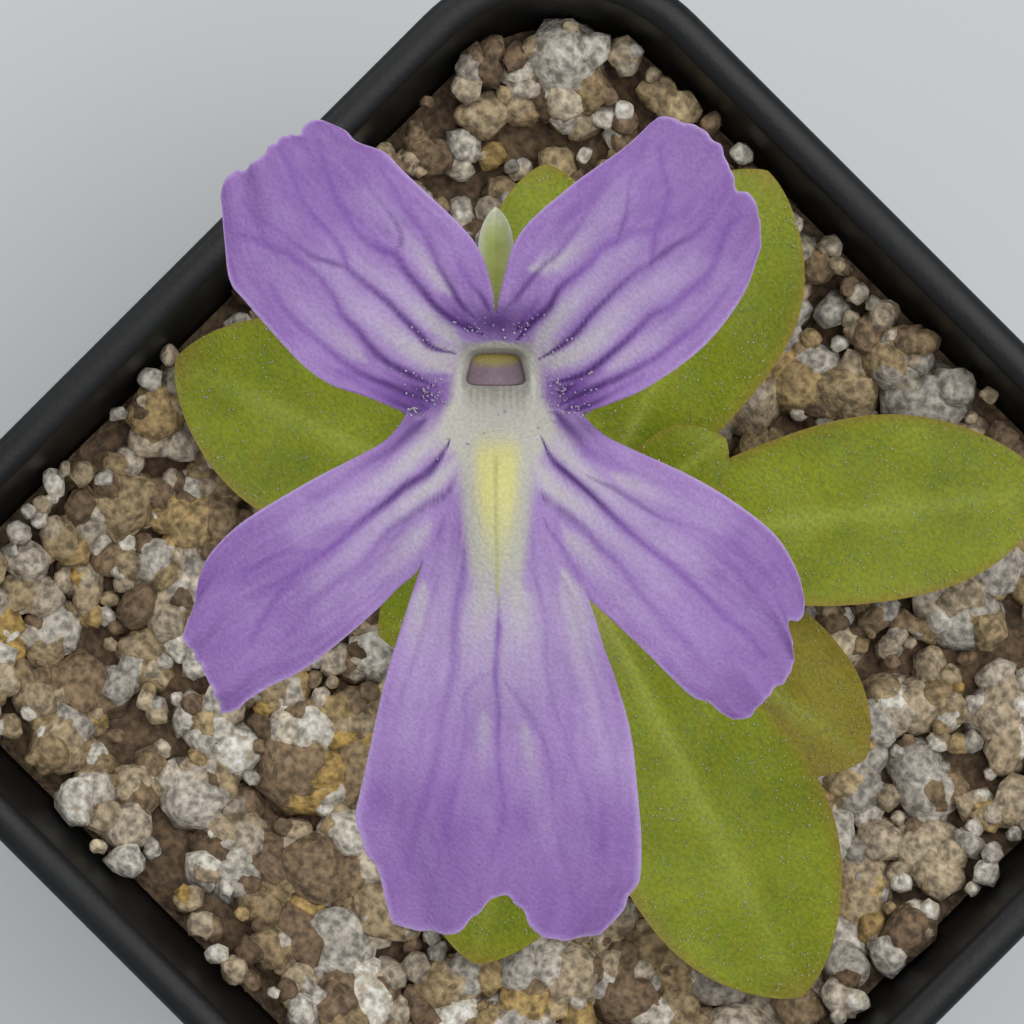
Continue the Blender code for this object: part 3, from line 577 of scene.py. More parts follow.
# %% [markdown]
# The marks of the throat are masks too: a grey-white collar round the mouth that runs down the palate,
# a yellow stripe on it with a painted groove (a thin dark line of shade; the surface has no dip there),
# a shaded lip above and below the mouth striped with painted shade for fine furrows, and dusky patches
# where the upper lobes spring from the throat.

# %% Marks of the throat
WHITE_HALF_WIDTH = ([-8.6, -7.6, -6.2, -4.6, -3.0, -2.3, -1.7, -1.0, -0.4, 0.6, 1.2, 1.5, 1.8],
                    [0.1, 0.7, 0.95, 1.15, 1.25, 1.6, 2.05, 1.9, 1.6, 1.5, 1.25, 0.7, -0.6])
YELLOW_HALF_WIDTH = ([-7.2, -5.5, -4.0, -2.2, -1.5], [0.3, 0.6, 0.8, 0.85, 0.7])
PALATE_MIDDLE = 0.05
# the palate's groove is painted shade only: a thin dark line down the yellow stripe, the surface stays level
PAINTED_GROOVE_WIDTH = 0.06
# the fine furrows under the mouth are painted as stripes in the lip's painted shade; the surface there is
# smooth
LIP_FURROW_SHADE_SPACING = 0.24  # spacing of the fine furrows under the mouth
# each patch: its middle x and y, its reach along x and y, and its strength
DUSK_PATCHES = ((0.0, 2.3, 1.3, 0.62, 0.95), (-2.95, -0.35, 1.1, 0.62, 0.95), (2.8, -0.3, 1.0, 0.62, 0.9),
                (-3.0, -1.4, 0.6, 0.5, 0.5), (3.2, -1.5, 0.9, 0.5, 0.5), (-1.2, 2.6, 0.8, 0.5, 0.6),
                (1.1, 2.6, 0.8, 0.5, 0.6))
PALE_PATCHES = ((0.0, -9.0, 2.6, 3.0, 0.7), (-4.2, -4.2, 1.9, 1.6, 0.28), (4.4, -4.2, 2.2, 1.8, 0.15),
                (-3.8, 2.6, 1.8, 1.4, 0.28), (4.2, 2.9, 2.0, 1.6, 0.25))
ASH_PATCHES = ((-1.8, 1.1, 0.85, 0.55, 0.95), (1.9, 1.1, 0.85, 0.55, 0.95), (-2.0, -1.9, 0.9, 0.7, 0.9),
               (2.1, -1.9, 0.9, 0.7, 0.9), (-1.4, -3.0, 0.5, 0.7, 0.6), (1.5, -3.0, 0.5, 0.7, 0.6))


def patches(x, y, table):
    """The largest of some bell-shaped spots: strength * exp(-((x - mx) / wide)^2 - ((y - my) / high)^2)."""
    spots = [strength * np.exp(-(((x - middle_x) / wide) ** 2) - ((y - middle_y) / high) ** 2)
             for middle_x, middle_y, wide, high, strength in table]
    return np.max(spots, axis=0)


def throat_marks(x, y):
    """White where |x| is under a width that changes with y; yellow, the painted groove shade and the painted
    lip shade in the same way.
    """
    off = np.abs(x - PALATE_MIDDLE)
    white = smooth_step(np.interp(y, *WHITE_HALF_WIDTH) - off, -0.32, 0.2) * smooth_step(y, -8.8, -6.2)
    yellow = smooth_step(np.interp(y, *YELLOW_HALF_WIDTH) - off, -0.25, 0.4)
    yellow = yellow * smooth_step(y, -7.6, -3.6) * smooth_step(-y, 1.4, 2.7)
    # the groove is a painted line of shade; no dip is cut into the surface
    groove = np.exp(-((x - PALATE_MIDDLE) / PAINTED_GROOVE_WIDTH) ** 2)
    groove = groove * smooth_step(-y, 2.0, 3.0) * smooth_step(y, -8.2, -7.2)
    # stripes of painted shade for fine furrows, laid on the lip's painted shade below the mouth
    furrow_shade = 0.75 + 0.25 * np.sin(2 * math.pi * x / LIP_FURROW_SHADE_SPACING)
    below = smooth_step(y, -1.5, -0.1) * smooth_step(-y, -0.1, 0.0) * smooth_step(1.3 - off, -0.2, 0.4)
    above = smooth_step(y, 0.7, 1.3) * smooth_step(-y, -1.75, -1.4) * smooth_step(1.6 - off, 0, 0.6)
    return {"white": white, "yellow": yellow, "groove": groove, "dusk": patches(x, y, DUSK_PATCHES),
            "lip_shade": np.maximum(below * furrow_shade, 0.9 * above)}


print("white at the palate:", throat_marks(np.array([0.1]), np.array([-3.0]))["white"].round(2))

# %% [markdown]
# ## The corolla
# The lobes' inner edges make one ring. From it the face runs on down to a small boxy mouth and into
# the tube, while the back runs down outside it. Under the tube hangs the spur, slender and blind,
# where the flower keeps its nectar. All of it is one mesh, a third of a millimetre thick and thinner
# at the edges.

# %% Mouth, tube and streaks
COLUMNS, ROWS, FUNNEL_ROWS = 76, 88, 22
EDGE_THICKNESS, MIDDLE_THICKNESS = 0.14, 0.34
MOUTH_MIDDLE, MOUTH_HALF, MOUTH_POWER = 0.66, (1.16, 0.63), 5.0
MOUTH_FOOT, MOUTH_NARROWING = 1.05, 0.27
TUBE_INSIDE = [(0.66, 1.08, -1.95), (0.66, 1.0, -2.5), (0.62, 0.8, -3.2), (0.6, 0.4, -4.0)]
TUBE_OUTSIDE = [(0.4, 1.9, 1.7, -3.3), (0.4, 1.5, 1.4, -4.1), (0.4, 1.15, 1.05, -4.7), (0.4, 0.7, 0.65, -5.0),
                (0.4, 0.3, 0.3, -5.15)]
STREAKS_ACROSS, STREAKS_ALONG = 42, 12


def mouth_outline(angles):
    """A superellipse |x/a|^p + |y/b|^p = 1 whose width shrinks evenly from the bottom to the top."""
    c, s = np.cos(angles), np.sin(angles)
    x = MOUTH_HALF[0] * np.sign(c) * np.abs(c) ** (2 / MOUTH_POWER)
    y = MOUTH_HALF[1] * np.sign(s) * np.abs(s) ** (2 / MOUTH_POWER)
    return x * (MOUTH_FOOT - MOUTH_NARROWING * (1 + y / MOUTH_HALF[1]) / 2), MOUTH_MIDDLE + y


def fan_noise(u, v):
    """Drawn values on a net much finer across than along, smoothly blended: streaks that run outwards."""
    values = DRAW.uniform(0, 1, (STREAKS_ALONG, STREAKS_ACROSS))
    across, along = u * (STREAKS_ACROSS - 1.01), v * (STREAKS_ALONG - 1.01)
    i, j = across.astype(int), along.astype(int)
    fu, fv = smooth_step(across - i, 0, 1), smooth_step(along - j, 0, 1)
    low = values[j, i] * (1 - fu) + values[j, i + 1] * fu
    high = values[j + 1, i] * (1 - fu) + values[j + 1, i + 1] * fu
    return low * (1 - fv) + high * fv


print("the mouth is", round(2 * MOUTH_HALF[0], 2), "mm wide and", round(2 * MOUTH_HALF[1], 2), "mm high")

# %% [markdown]
# Each lobe is a net of its own. Its margin is thin and a little ragged, its middle is thicker, and its
# marks are worked out at every point of the net, so they need no picture.

# %% Nets of the lobes
def surface_marks(x, y, names):
    """Veins, their dark roots, pale streaks and the ash-grey start of those, from the named lobes' lines."""
    flat = np.stack([x, y], axis=-1).reshape(-1, 2)
    vein, root = line_marks(flat, [line for name in names for line in VEINS[name]], *VEIN_END)
    pale, ash = line_marks(flat, [line for name in names for line in PALE_STREAKS[name]], *STREAK_END)
    pale = np.maximum(pale, patches(flat[:, 0], flat[:, 1], PALE_PATCHES))
    ash = np.maximum(ash, patches(flat[:, 0], flat[:, 1], ASH_PATCHES))
    root = root * smooth_step(flat[:, 1], -6.5, -4.0)
    found = {"vein": vein, "root": root, "pale": pale, "ash": ash}
    return {mark: values.reshape(np.shape(x)) for mark, values in found.items()}


def lobe_sheet(name, lobe):
    """One lobe: the flower's face plus a crown, a ruffle and teeth at the tip, less a furrow at each vein."""
    net = lobe_net(lobe, COLUMNS, ROWS)
    u = np.linspace(0, 1, COLUMNS + 1)[None, :]
    v = np.linspace(0, 1, ROWS + 1)[:, None]
    teeth = np.sin(41 * u + net[0, 0, 0]) + 0.7 * np.sin(67 * u)
    teeth = teeth * smooth_step(v, 0.86, 1) * 4 * u * (1 - u)
    net = net + 0.45 * teeth[..., None] * (net[-1:] - net[-2:-1])
    x, y = net[..., 0], net[..., 1]
    own = surface_marks(x, y, [name])
    streak = fan_noise(u + 0 * v, v + 0 * u)
    tip = 0.55 * smooth_step(v + 0 * u, 0.45, 0.95)
    edge = np.minimum(np.minimum(u, 1 - u) * 8, (1 - v) * 11) + 0.6 * (1 - v) ** 6
    crown = 0.35 * (4 * u * (1 - u) - 0.6) * v**1.5
    ruffle = (0.16 * np.sin(2 * math.pi * 2.3 * u + 1.3 * x[0, 0]) + 0.08 * np.sin(31 * u)) * v**5
    z = limb_height(x, y) + crown + ruffle - 0.04 * own["vein"] * smooth_step(v, 0, 0.1)
    thick = EDGE_THICKNESS + (MIDDLE_THICKNESS - EDGE_THICKNESS) * smooth_step(edge, 0, 1.2)
    own.update(streak=streak, tip=tip, edge=np.exp(-((edge / 0.1) ** 2)) + 0 * x, mouth=0 * x)
    return net, z, thick, own


sheets = {name: lobe_sheet(name, lobe) for name, lobe in LOBES.items()}
print("each lobe has", (COLUMNS + 1) * (ROWS + 1), "points a side")

# %% [markdown]
# Stitching goes ring by ring. The first row of every lobe is shared with its neighbour, and the rows
# inside that ring follow it all the way round, each one nearer to the mouth.

# %% Stitch the lobes, the funnel and the tube
def ring_row(parts):
    """One closed row from the lobes' first rows, without the point that the next lobe repeats."""
    return np.concatenate([p[0, :-1] for p in parts])


ring = np.column_stack([ring_row([s[0][..., k] for s in sheets.values()]) for k in (0, 1)])
ring_z = ring_row([s[1] for s in sheets.values()])
AROUND = len(ring)
angles = np.arctan2(ring[:, 1] - MOUTH_MIDDLE, ring[:, 0])
mouth_x, mouth_y = mouth_outline(angles)
MARKS = ("vein", "root", "pale", "ash", "streak", "tip", "edge", "mouth")
face, back = [np.column_stack([ring, ring_z])], [np.column_stack([ring, ring_z - MIDDLE_THICKNESS])]
blocks = []
marks = {m: [ring_row([s[3][m] for s in sheets.values()])] for m in MARKS}
count = AROUND
for number, (net, z, thick, own) in enumerate(sheets.values()):
    first = (number * COLUMNS + np.arange(COLUMNS + 1)) % AROUND
    rest = count + np.arange(ROWS * (COLUMNS + 1)).reshape(ROWS, COLUMNS + 1)
    blocks.append(net_quads(np.vstack([first, rest])))
    rows = np.dstack([net, z])[1:].reshape(-1, 3)
    face.append(rows)
    back.append(rows - thick[1:].reshape(-1, 1) * (0, 0, 1))
    for m in MARKS:
        marks[m].append(own[m][1:].ravel())
    count += len(rows)
for step in range(1, FUNNEL_ROWS + 1):
    s = step / FUNNEL_ROWS
    x, y = ring[:, 0] * (1 - s) + mouth_x * s, ring[:, 1] * (1 - s) + mouth_y * s
    lip = 0.16 * np.exp(-(((s - 0.93) / 0.05) ** 2)) * smooth_step(-(y - 0.6), 0, 0.4)
    z = limb_height(x, y) + lip - 0.25 * smooth_step(s, 0.9, 1.0)
    face.append(np.column_stack([x, y, z]))
    middle, wide, high, low = TUBE_OUTSIDE[0]
    out = np.column_stack([wide * np.cos(angles), middle + high * np.sin(angles), np.full(AROUND, low)])
    back.append(np.column_stack([ring, ring_z - MIDDLE_THICKNESS]) * (1 - s) + out * s
                - np.array([0, 0, 0.4 * math.sin(math.pi * s)]))
funnel = np.vstack(face[-FUNNEL_ROWS:])
funnel_marks = surface_marks(funnel[:, 0], funnel[:, 1], list(LOBES))
funnel_marks["streak"] = np.tile(marks["streak"][0], FUNNEL_ROWS)
for m in MARKS:
    marks[m].append(funnel_marks.get(m, np.zeros(len(funnel))))
for inside, outside in zip(TUBE_INSIDE, TUBE_OUTSIDE[1:]):
    share = inside[1] / MOUTH_HALF[0]
    face.append(np.column_stack([mouth_x * share, inside[0] + (mouth_y - MOUTH_MIDDLE) * share,
                                 np.full(AROUND, inside[2])]))
    back.append(np.column_stack([outside[1] * np.cos(angles), outside[0] + outside[2] * np.sin(angles),
                                 np.full(AROUND, outside[3])]))
    for m in MARKS:
        marks[m].append(np.full(AROUND, 1.0 if m == "mouth" else 0.0))
inner_rows = FUNNEL_ROWS + len(TUBE_INSIDE)
columns = np.arange(AROUND + 1) % AROUND
index = np.vstack([columns, *[count + r * AROUND + columns for r in range(inner_rows)]])
blocks.append(net_quads(index[::-1]))
floor = count + inner_rows * AROUND
face.append([(0.0, 0.6, -4.15)])
back.append([(0.0, 0.4, -5.2)])
for m in MARKS:
    marks[m].append([1.0 if m == "mouth" else 0.0])
blocks.append(np.stack([index[-1, 1:], np.full(AROUND, floor), index[-1, :-1]], axis=1))
front, rear = np.vstack(face), np.vstack(back)
marks = {m: np.concatenate(v) for m, v in marks.items()}
print("the corolla's face has", len(front), "points")

# %% [markdown]
# ## Petal tissue
# A butterwort petal is thin, matt and a little velvety, because its skin cells are tiny cones that
# catch the light. That asks for a high roughness, a faint sheen, some light carried through the
# tissue, and a fine cell pattern of about 0.15 mm in both the colour and the bump.

# %% Petal material
def petal_material():
    """Lilac varied over a few millimetres, then pale streaks, veins, dusk, white, yellow and the rim."""
    material, shader = start_material(
        "velvety_petal_tissue", Roughness=0.62, IOR=1.4, Sheen_Weight=0.12, Sheen_Roughness=0.4,
        Subsurface_Weight=0.12, Subsurface_Radius=(0.6 * MM, 0.3 * MM, 0.6 * MM), Subsurface_Scale=1.0)
    broad = noise_share(material, 3.2, 0.38, 0.62, 2.0)
    fine = noise_share(material, 0.5, 0.3, 0.7, 4.0)
    cells = noise_share(material, 0.14, 0.3, 0.7, 2.0)
    streak = add_node(material, "ShaderNodeAttribute", attribute_name="streak").outputs["Fac"]
    streak = share_of(material, streak, 0.45)
    colour = paint_layers(material, linear("#9270AE"), [
        (broad, "#80599F"), (streak, "#A78EBD"), ("tip", "#7C5699"),
        ("pale", "#B2A6BF"), ("ash", "#B0A9AD"), ("dusk", "#4C2C6E"), ("white", "#B0AEA4"),
        ("vein", "#6E3C96"), ("root", "#2C0D4C"), ("lip_shade", "#8D8D82"), ("yellow", "#C6C27E"),
        # groove: a painted dark line of shade down the palate, where the surface has no groove
        ("groove", "#A3A062"), ("mouth", "#8F7B86"), ("edge", "#B29CCB"),
    ])
    colour = speckled(material, colour, 0.1, cells)
    material.node_tree.links.new(colour, shader.inputs["Base Color"])
    rough_and_bump(material, shader, fine, 0.5, 0.66, cells, 0.035)
    return material


PETAL = petal_material()
print("made", PETAL.name)

# %% [markdown]
# The back of the flower shows the same marks more faintly. The spur is a tube of its own that starts
# inside the flower's tube and tapers to a round tip.

# %% Make the corolla
SPUR = [(0, -0.6, -3.9, 0.62), (0, -1.4, -4.9, 0.66), (0, -2.0, -6.2, 0.64), (0, -2.5, -9.0, 0.58),
        (0, -2.9, -12.5, 0.52), (0, -3.05, -15.6, 0.46)]


def spur_net():
    """The spur's line from behind the throat, its radius rounded off over the last stretch."""
    line = smooth_line(SPUR, 60)
    share = np.linspace(0, 1, 60)
    radius = line[:, 3] * np.sqrt(np.clip(1 - ((share - 0.94) / 0.0605).clip(0) ** 2, 0.02, 1))
    return tube_net(line[:, :3], radius, 28)


marks.update(throat_marks(front[:, 0], front[:, 1]))
for name in ("white", "yellow", "groove", "dusk", "lip_shade"):
    marks[name] = marks[name] * (front[:, 2] > -2.2)
faint = {name: 0.45 * value if name in ("vein", "dusk", "pale") else value for name, value in marks.items()}
faint["mouth"] = 0 * faint["mouth"]
for name in ("white", "yellow", "groove", "lip_shade"):
    faint[name] = faint[name] * 0.3
sheet_points, sheet_blocks = close_sheet(front, rear, blocks)
spur_points, spur_blocks = spur_net()
corolla_points, corolla_blocks = gather([(sheet_points, sheet_blocks), (spur_points, spur_blocks)])
spur_marks = {name: np.full(len(spur_points), 0.35 if name == "pale" else 0.0) for name in marks}
corolla_marks = {m: np.concatenate([marks[m], faint[m], spur_marks[m]]) for m in marks}
make_piece("petals_and_spur", to_pot(corolla_points, FLOWER), corolla_blocks, PETAL,
           ["corolla"], corolla_marks)

# %% [markdown]
# ## Gland droplets
# Round the mouth and on the roots of the veins stand glassy gland heads on hairs. Each is a small
# ball of 20 faces; a seeded draw scatters them along the first stretch of the veins.

# %% Balls from one template
THIRD_TURN = 2.0944


def ball_template(subdivisions):
    """Points and triangles of a unit icosphere."""
    ball = bmesh.new()
    bmesh.ops.create_icosphere(ball, subdivisions=subdivisions, radius=1.0)
    points = np.array([v.co[:] for v in ball.verts])
    faces = np.array([[v.index for v in f.verts] for f in ball.faces])
    ball.free()
    return points, faces


def copies(points, faces, centres, radii):
    """One mesh of a template scaled by radii and moved to each centre."""
    placed = centres[:, None] + points[None] * np.asarray(radii).reshape(len(centres), 1, -1)
    index = faces[None] + (np.arange(len(centres)) * len(points))[:, None, None]
    return placed.reshape(-1, 3), [index.reshape(-1, faces.shape[1])]


def stalked_glands(centres, radii, lift, outward):
    """A ball held off the skin by lift times its radius, and a three-sided hair from the skin to it."""
    heads = centres + outward * (lift * radii)[:, None]
    ball, faces = ball_template(1)
    head_net = copies(ball, faces, heads, radii[:, None])
    side = np.cross(outward, (0.3, 0.5, 0.81))
    side /= np.linalg.norm(side, axis=1)[:, None]
    other = np.cross(outward, side)
    corners = [centres + (math.cos(a) * side + math.sin(a) * other) * (0.3 * radii)[:, None]
               for a in (0, THIRD_TURN, 2 * THIRD_TURN)]
    hair = np.stack([*corners, heads], axis=1).reshape(-1, 3)
    foot = np.arange(len(centres))[:, None] * 4
    sides = np.concatenate([foot + [0, 1, 3], foot + [1, 2, 3], foot + [2, 0, 3], foot + [2, 1, 0]])
    return gather([head_net, (hair, [sides])])


def nearly_upright(number, spread):
    """Unit vectors along Z, each tipped by a drawn amount."""
    upright = np.array([0.0, 0.0, 1.0]) + DRAW.normal(0, spread, (number, 3))
    return upright / np.linalg.norm(upright, axis=1)[:, None]


print("a gland has", len(ball_template(1)[1]) + 4, "faces")

# %% [markdown]
# The droplets' stuff is a clear, sticky slime, close to glass: smooth and bright, with a cool glint.

# %% Slime material and the throat's glands
def slime_material(name, hex_colour, rough):
    """A wet, nearly clear bead: low roughness, part of its light passing through."""
    material, shader = start_material(name, Roughness=rough, IOR=1.38, Transmission_Weight=0.5,
                                      Specular_IOR_Level=0.6)
    tint = noise_share(material, 1.2, 0.3, 0.7, 1.0)
    colour = paint_layers(material, linear(hex_colour), [(tint, "#D6D2DA")])
    material.node_tree.links.new(colour, shader.inputs["Base Color"])
    return material


def glands_on_veins():
    """Points strewn along the start of each strong vein, and over the cleft's and the throat's edges."""
    spots = []
    for name in ("upper_left", "upper_right", "lower_left", "lower_right"):
        for width, strength, points in VEINS[name]:
            if strength < 0.85:
                continue
            path = smooth_line(points, 40)[: 8 if "upper" in name else 4]
            spots.append(path + DRAW.normal(0, 0.1, path.shape))
    for x, y, spread_x, spread_y, number in ((-2.3, -0.3, 0.28, 0.45, 26), (2.2, -0.2, 0.25, 0.45, 26),
                                             (0.0, 2.0, 0.8, 0.3, 14), (-3.0, -0.9, 0.12, 0.08, 5),
                                             (3.0, -0.9, 0.12, 0.08, 5), (0.1, -1.2, 1.3, 0.9, 6)):
        spots.append(np.column_stack([DRAW.normal(x, spread_x, number), DRAW.normal(y, spread_y, number)]))
    return np.vstack(spots)


spots = glands_on_veins()
gland_feet = np.column_stack([spots, limb_height(spots[:, 0], spots[:, 1]) - 0.02])
gland_radii = DRAW.uniform(0.028, 0.056, len(spots))
upright = nearly_upright(len(spots), 0.25)
BEAD = slime_material("clear_gland_slime", "#B9A9CC", 0.06)
points, beads = stalked_glands(gland_feet, gland_radii, 2.2, upright)
make_piece("throat_glands", to_pot(points, FLOWER), beads, BEAD)

# %% [markdown]
# ## Stigma
# The stigma's flap fills the mouth like a curtain and hides the pollen and the ovary. It is mauve,
# with an olive upper edge.

# %% Ovary and stigma
def pistil_net():
    """Rings in the shape of the mouth, scaled: a round ovary, a short neck, and a broad flap on top."""
    profile = [(-3.95, 0.05), (-3.8, 0.28), (-3.4, 0.42), (-3.0, 0.42), (-2.8, 0.34), (-2.6, 0.5),
               (-2.4, 0.85), (-2.25, 0.97), (-2.1, 0.98), (-1.98, 0.96), (-1.92, 0.85), (-1.9, 0.5),
               (-1.9, 0.05)]
    line = smooth_line(profile, 60)
    mouth_x, mouth_y = mouth_outline(np.linspace(0, 2 * math.pi, 64, endpoint=False))
    x = line[:, 1:] * mouth_x
    y = MOUTH_MIDDLE + line[:, 1:] * (mouth_y - MOUTH_MIDDLE)
    tilt = 0.22 * (y - MOUTH_MIDDLE) * smooth_step(line[:, :1], -2.5, -2.0)
    rings = np.stack([x, y, line[:, :1] - tilt], axis=-1)
    return capped_rings(rings, (0, MOUTH_MIDDLE, line[0, 0]), (0, MOUTH_MIDDLE, line[-1, 0]))


def plant_skin_material(name, light, dark, roughness, size_mm):
    """Plain plant skin: two colours over a few millimetres with a fine waxy bump."""
    material, shader = start_material(name, Roughness=roughness, IOR=1.42, Subsurface_Weight=0.1,
                                      Subsurface_Radius=(0.5 * MM, 0.6 * MM, 0.2 * MM), Subsurface_Scale=1.0)
    colour = paint_layers(material, linear(light), [(noise_share(material, size_mm), dark)])
    material.node_tree.links.new(colour, shader.inputs["Base Color"])
    fine = noise_share(material, 0.12)
    rough_and_bump(material, shader, fine, roughness - 0.08, roughness + 0.08, fine, 0.02)
    return material


def add_layer(material, name, hex_colour):
    """Puts one more painted layer, by point value, between a finished colour and its shader."""
    shader = material.node_tree.nodes["Principled BSDF"]
    under = shader.inputs["Base Color"].links[0].from_socket
    over = paint_layers(material, under, [(name, hex_colour)])
    material.node_tree.links.new(over, shader.inputs["Base Color"])


STIGMA = plant_skin_material("soft_stigma_tissue", "#7A6670", "#6C5A64", 0.5, 0.5)
add_layer(STIGMA, "olive", "#948748")
points, blocks_of_pistil = pistil_net()
olive = smooth_step(points[:, 1] - 0.2 * points[:, 0] ** 2, 0.6, 1.0)
make_piece("ovary_and_stigma", to_pot(points, FLOWER), blocks_of_pistil, STIGMA, ["pistil"],
           {"olive": olive})

# %% [markdown]
# ## Calyx
# Five small sepals hold the tube from behind. The upper one stands up in the cleft of the upper lobes,
# a pale green tip with a frosty rim. Each is a spear-shaped sheet on a small dish.

# %% Sepals
# each sepal: its direction in degrees and its length
SEPALS = [(90, 6.1), (30, 4.2), (150, 4.2), (200, 3.8), (340, 3.8)]
CALYX_MIDDLE = np.array([0.0, 0.5, 0.0])


def sepal_net(direction, length):
    """A blade along direction: widest at three quarters, its height rising as the share to power 1.5."""
    rows, columns = 34, 14
    t = np.linspace(0, 1, rows + 1)[:, None]
    u = np.linspace(-1, 1, columns + 1)[None, :]
    half = 0.64 * np.maximum(np.sin(math.pi * t**2.3) ** 0.75, 0.5 * (1 - t) ** 0.5) + 0.02
    out = 0.5 + (length - 0.5) * t
    z = -5.8 + 3.8 * t**1.5 + 0.18 * u**2 - 0.06 * np.exp(-((u / 0.12) ** 2))
    turn = math.radians(direction)
    x = CALYX_MIDDLE[0] + out * math.cos(turn) - u * half * math.sin(turn)
    y = CALYX_MIDDLE[1] + out * math.sin(turn) + u * half * math.cos(turn)
    thick = 0.09 + 0.16 * (1 - np.abs(u) ** 2) * (1 - 0.6 * t)
    front_face = np.stack([x, y, z + thick], axis=-1).reshape(-1, 3)
    back_face = np.stack([x, y, z - thick], axis=-1).reshape(-1, 3)
    index = np.arange(front_face.shape[0]).reshape(rows + 1, columns + 1)
    rim = np.maximum(np.abs(u) ** 3 + 0 * t, t**9 + 0 * u).ravel()
    points, blocks = close_sheet(front_face, back_face, [net_quads(index)])
    return points, blocks, np.concatenate([rim, rim])


def dish_net():
    """The receptacle: a shallow cup turned about the scape's top."""
    line = smooth_line([(0, 0.5, -6.25, 0.35), (0, 0.5, -6.1, 0.8), (0, 0.5, -5.85, 1.0),
                        (0, 0.5, -5.6, 0.98), (0, 0.5, -5.52, 0.7)], 16)
    return tube_net(line[:, :3], line[:, 3], 32)


nets = [sepal_net(*sepal) for sepal in SEPALS]
dish = dish_net()
points, blocks_of_calyx = gather([net[:2] for net in nets] + [dish])
rims = np.concatenate([net[2] for net in nets] + [np.zeros(len(dish[0]))])
SEPAL = plant_skin_material("pale_sepal_skin", "#D8E880", "#BFD464", 0.6, 0.9)
add_layer(SEPAL, "rim", "#F2F6E2")
make_piece("sepals_and_cup", to_pot(points, FLOWER), blocks_of_calyx, SEPAL, ["calyx"],
           {"rim": rims})

# %% [markdown]
# ## Scape
# The flower's stalk is one slender, slightly curved tube. It is covered with short hairs that end in
# gland heads, like the leaves. A cubic through the solid model's points gives it one easy bend.

# %% The stalk and its hairs
SCAPE_RINGS, HAIRY_RINGS = 260, (6, 252)
SCAPE_TOP = np.array([FLOWER[0], FLOWER[1] + 0.5, FLOWER[2] - 6.25])
SCAPE_ROUTE = [(0.6, 5.3, 57.5), (0.8, 5.5, 65.9), (0.0, 6.9, 85.9), (-2.0, 9.9, 107.9),
               (SCAPE_TOP[0] - 0.1, SCAPE_TOP[1] - 0.3, SCAPE_TOP[2] - 8), tuple(SCAPE_TOP)]


def scape_radius(share):
    """0.72 mm at the foot, 0.45 mm under the flower, with a small swelling at the very top."""
    return 0.72 - 0.27 * share + 0.1 * np.exp(-(((share - 1) / 0.02) ** 2))


route = np.array(SCAPE_ROUTE)
height = np.linspace(route[0, 2], route[-1, 2], SCAPE_RINGS)
bends = [np.polyval(np.polyfit(route[:, 2], route[:, k], 3), height) for k in (0, 1)]
line = np.column_stack([*bends, height])
share = np.linspace(0, 1, SCAPE_RINGS)
STALK = plant_skin_material("hairy_stalk_skin", "#8E9A4A", "#7A6A4C", 0.5, 5.0)
points, blocks_of_scape = tube_net(line, scape_radius(share), 24)
make_piece("green_stalk", to_pot(points), blocks_of_scape, STALK, ["scape"])


def scape_glands(number):
    """Hairs at drawn places along the stalk and round it, pointing straight out."""
    at = DRAW.integers(*HAIRY_RINGS, number)
    turn = DRAW.uniform(0, 2 * math.pi, number)
    outward = np.column_stack([np.cos(turn), np.sin(turn), DRAW.normal(0, 0.15, number)])
    outward /= np.linalg.norm(outward, axis=1)[:, None]
    feet = line[at] + outward * (scape_radius(share[at]) - 0.04)[:, None]
    return stalked_glands(feet, DRAW.uniform(0.05, 0.085, number), 4.5, outward)


points, hairs = scape_glands(420)
make_piece("scape_glands", to_pot(points), hairs, BEAD)

# %% [markdown]
# ## Leaves
# A butterwort leaf is a sticky tongue. Its margins turn up, a shallow groove marks the midrib, and the
# surface between is slightly quilted. Its outline follows the solid model's, with a rounder tip, a
# finer grid and a thinner edge.

# %% Leaf grids
# each leaf: direction in degrees, length, width, level, and its rise at the middle and at the tip
LEAVES = [(6.6, 27.5, 10.6, 1, 1.0, 1.0), (62.3, 24.0, 11.0, 1, 1.4, 2.4), (93.8, 21.9, 8.4, 0, 0.7, 1.4),
          (154.5, 25.0, 11.5, 0, 0.8, 1.2), (205.0, 12.0, 6.0, 1, 1.2, 1.6), (257.3, 24.7, 11.2, 0, 0.6, 0.2),
          (297.3, 29.0, 12.6, 1, 1.2, 0.3), (324.4, 21.0, 9.6, 0, 0.6, 0.3), (35.0, 10.5, 5.0, 2, 2.8, 4.6),
          (130.0, 9.0, 4.6, 2, 3.0, 4.8), (240.0, 11.0, 5.2, 2, 2.6, 4.2)]
LEAF_LEVELS = [53.7, 55.1, 56.5]
LEAF_HALF_THICKNESS = 0.31
LEAF_FOOT = 1.9


def leaf_width(t):
    """The square root of sin(pi t^1.35): round at both ends, and widest beyond the middle."""
    return np.sqrt(np.sin(math.pi * t**1.35).clip(0))


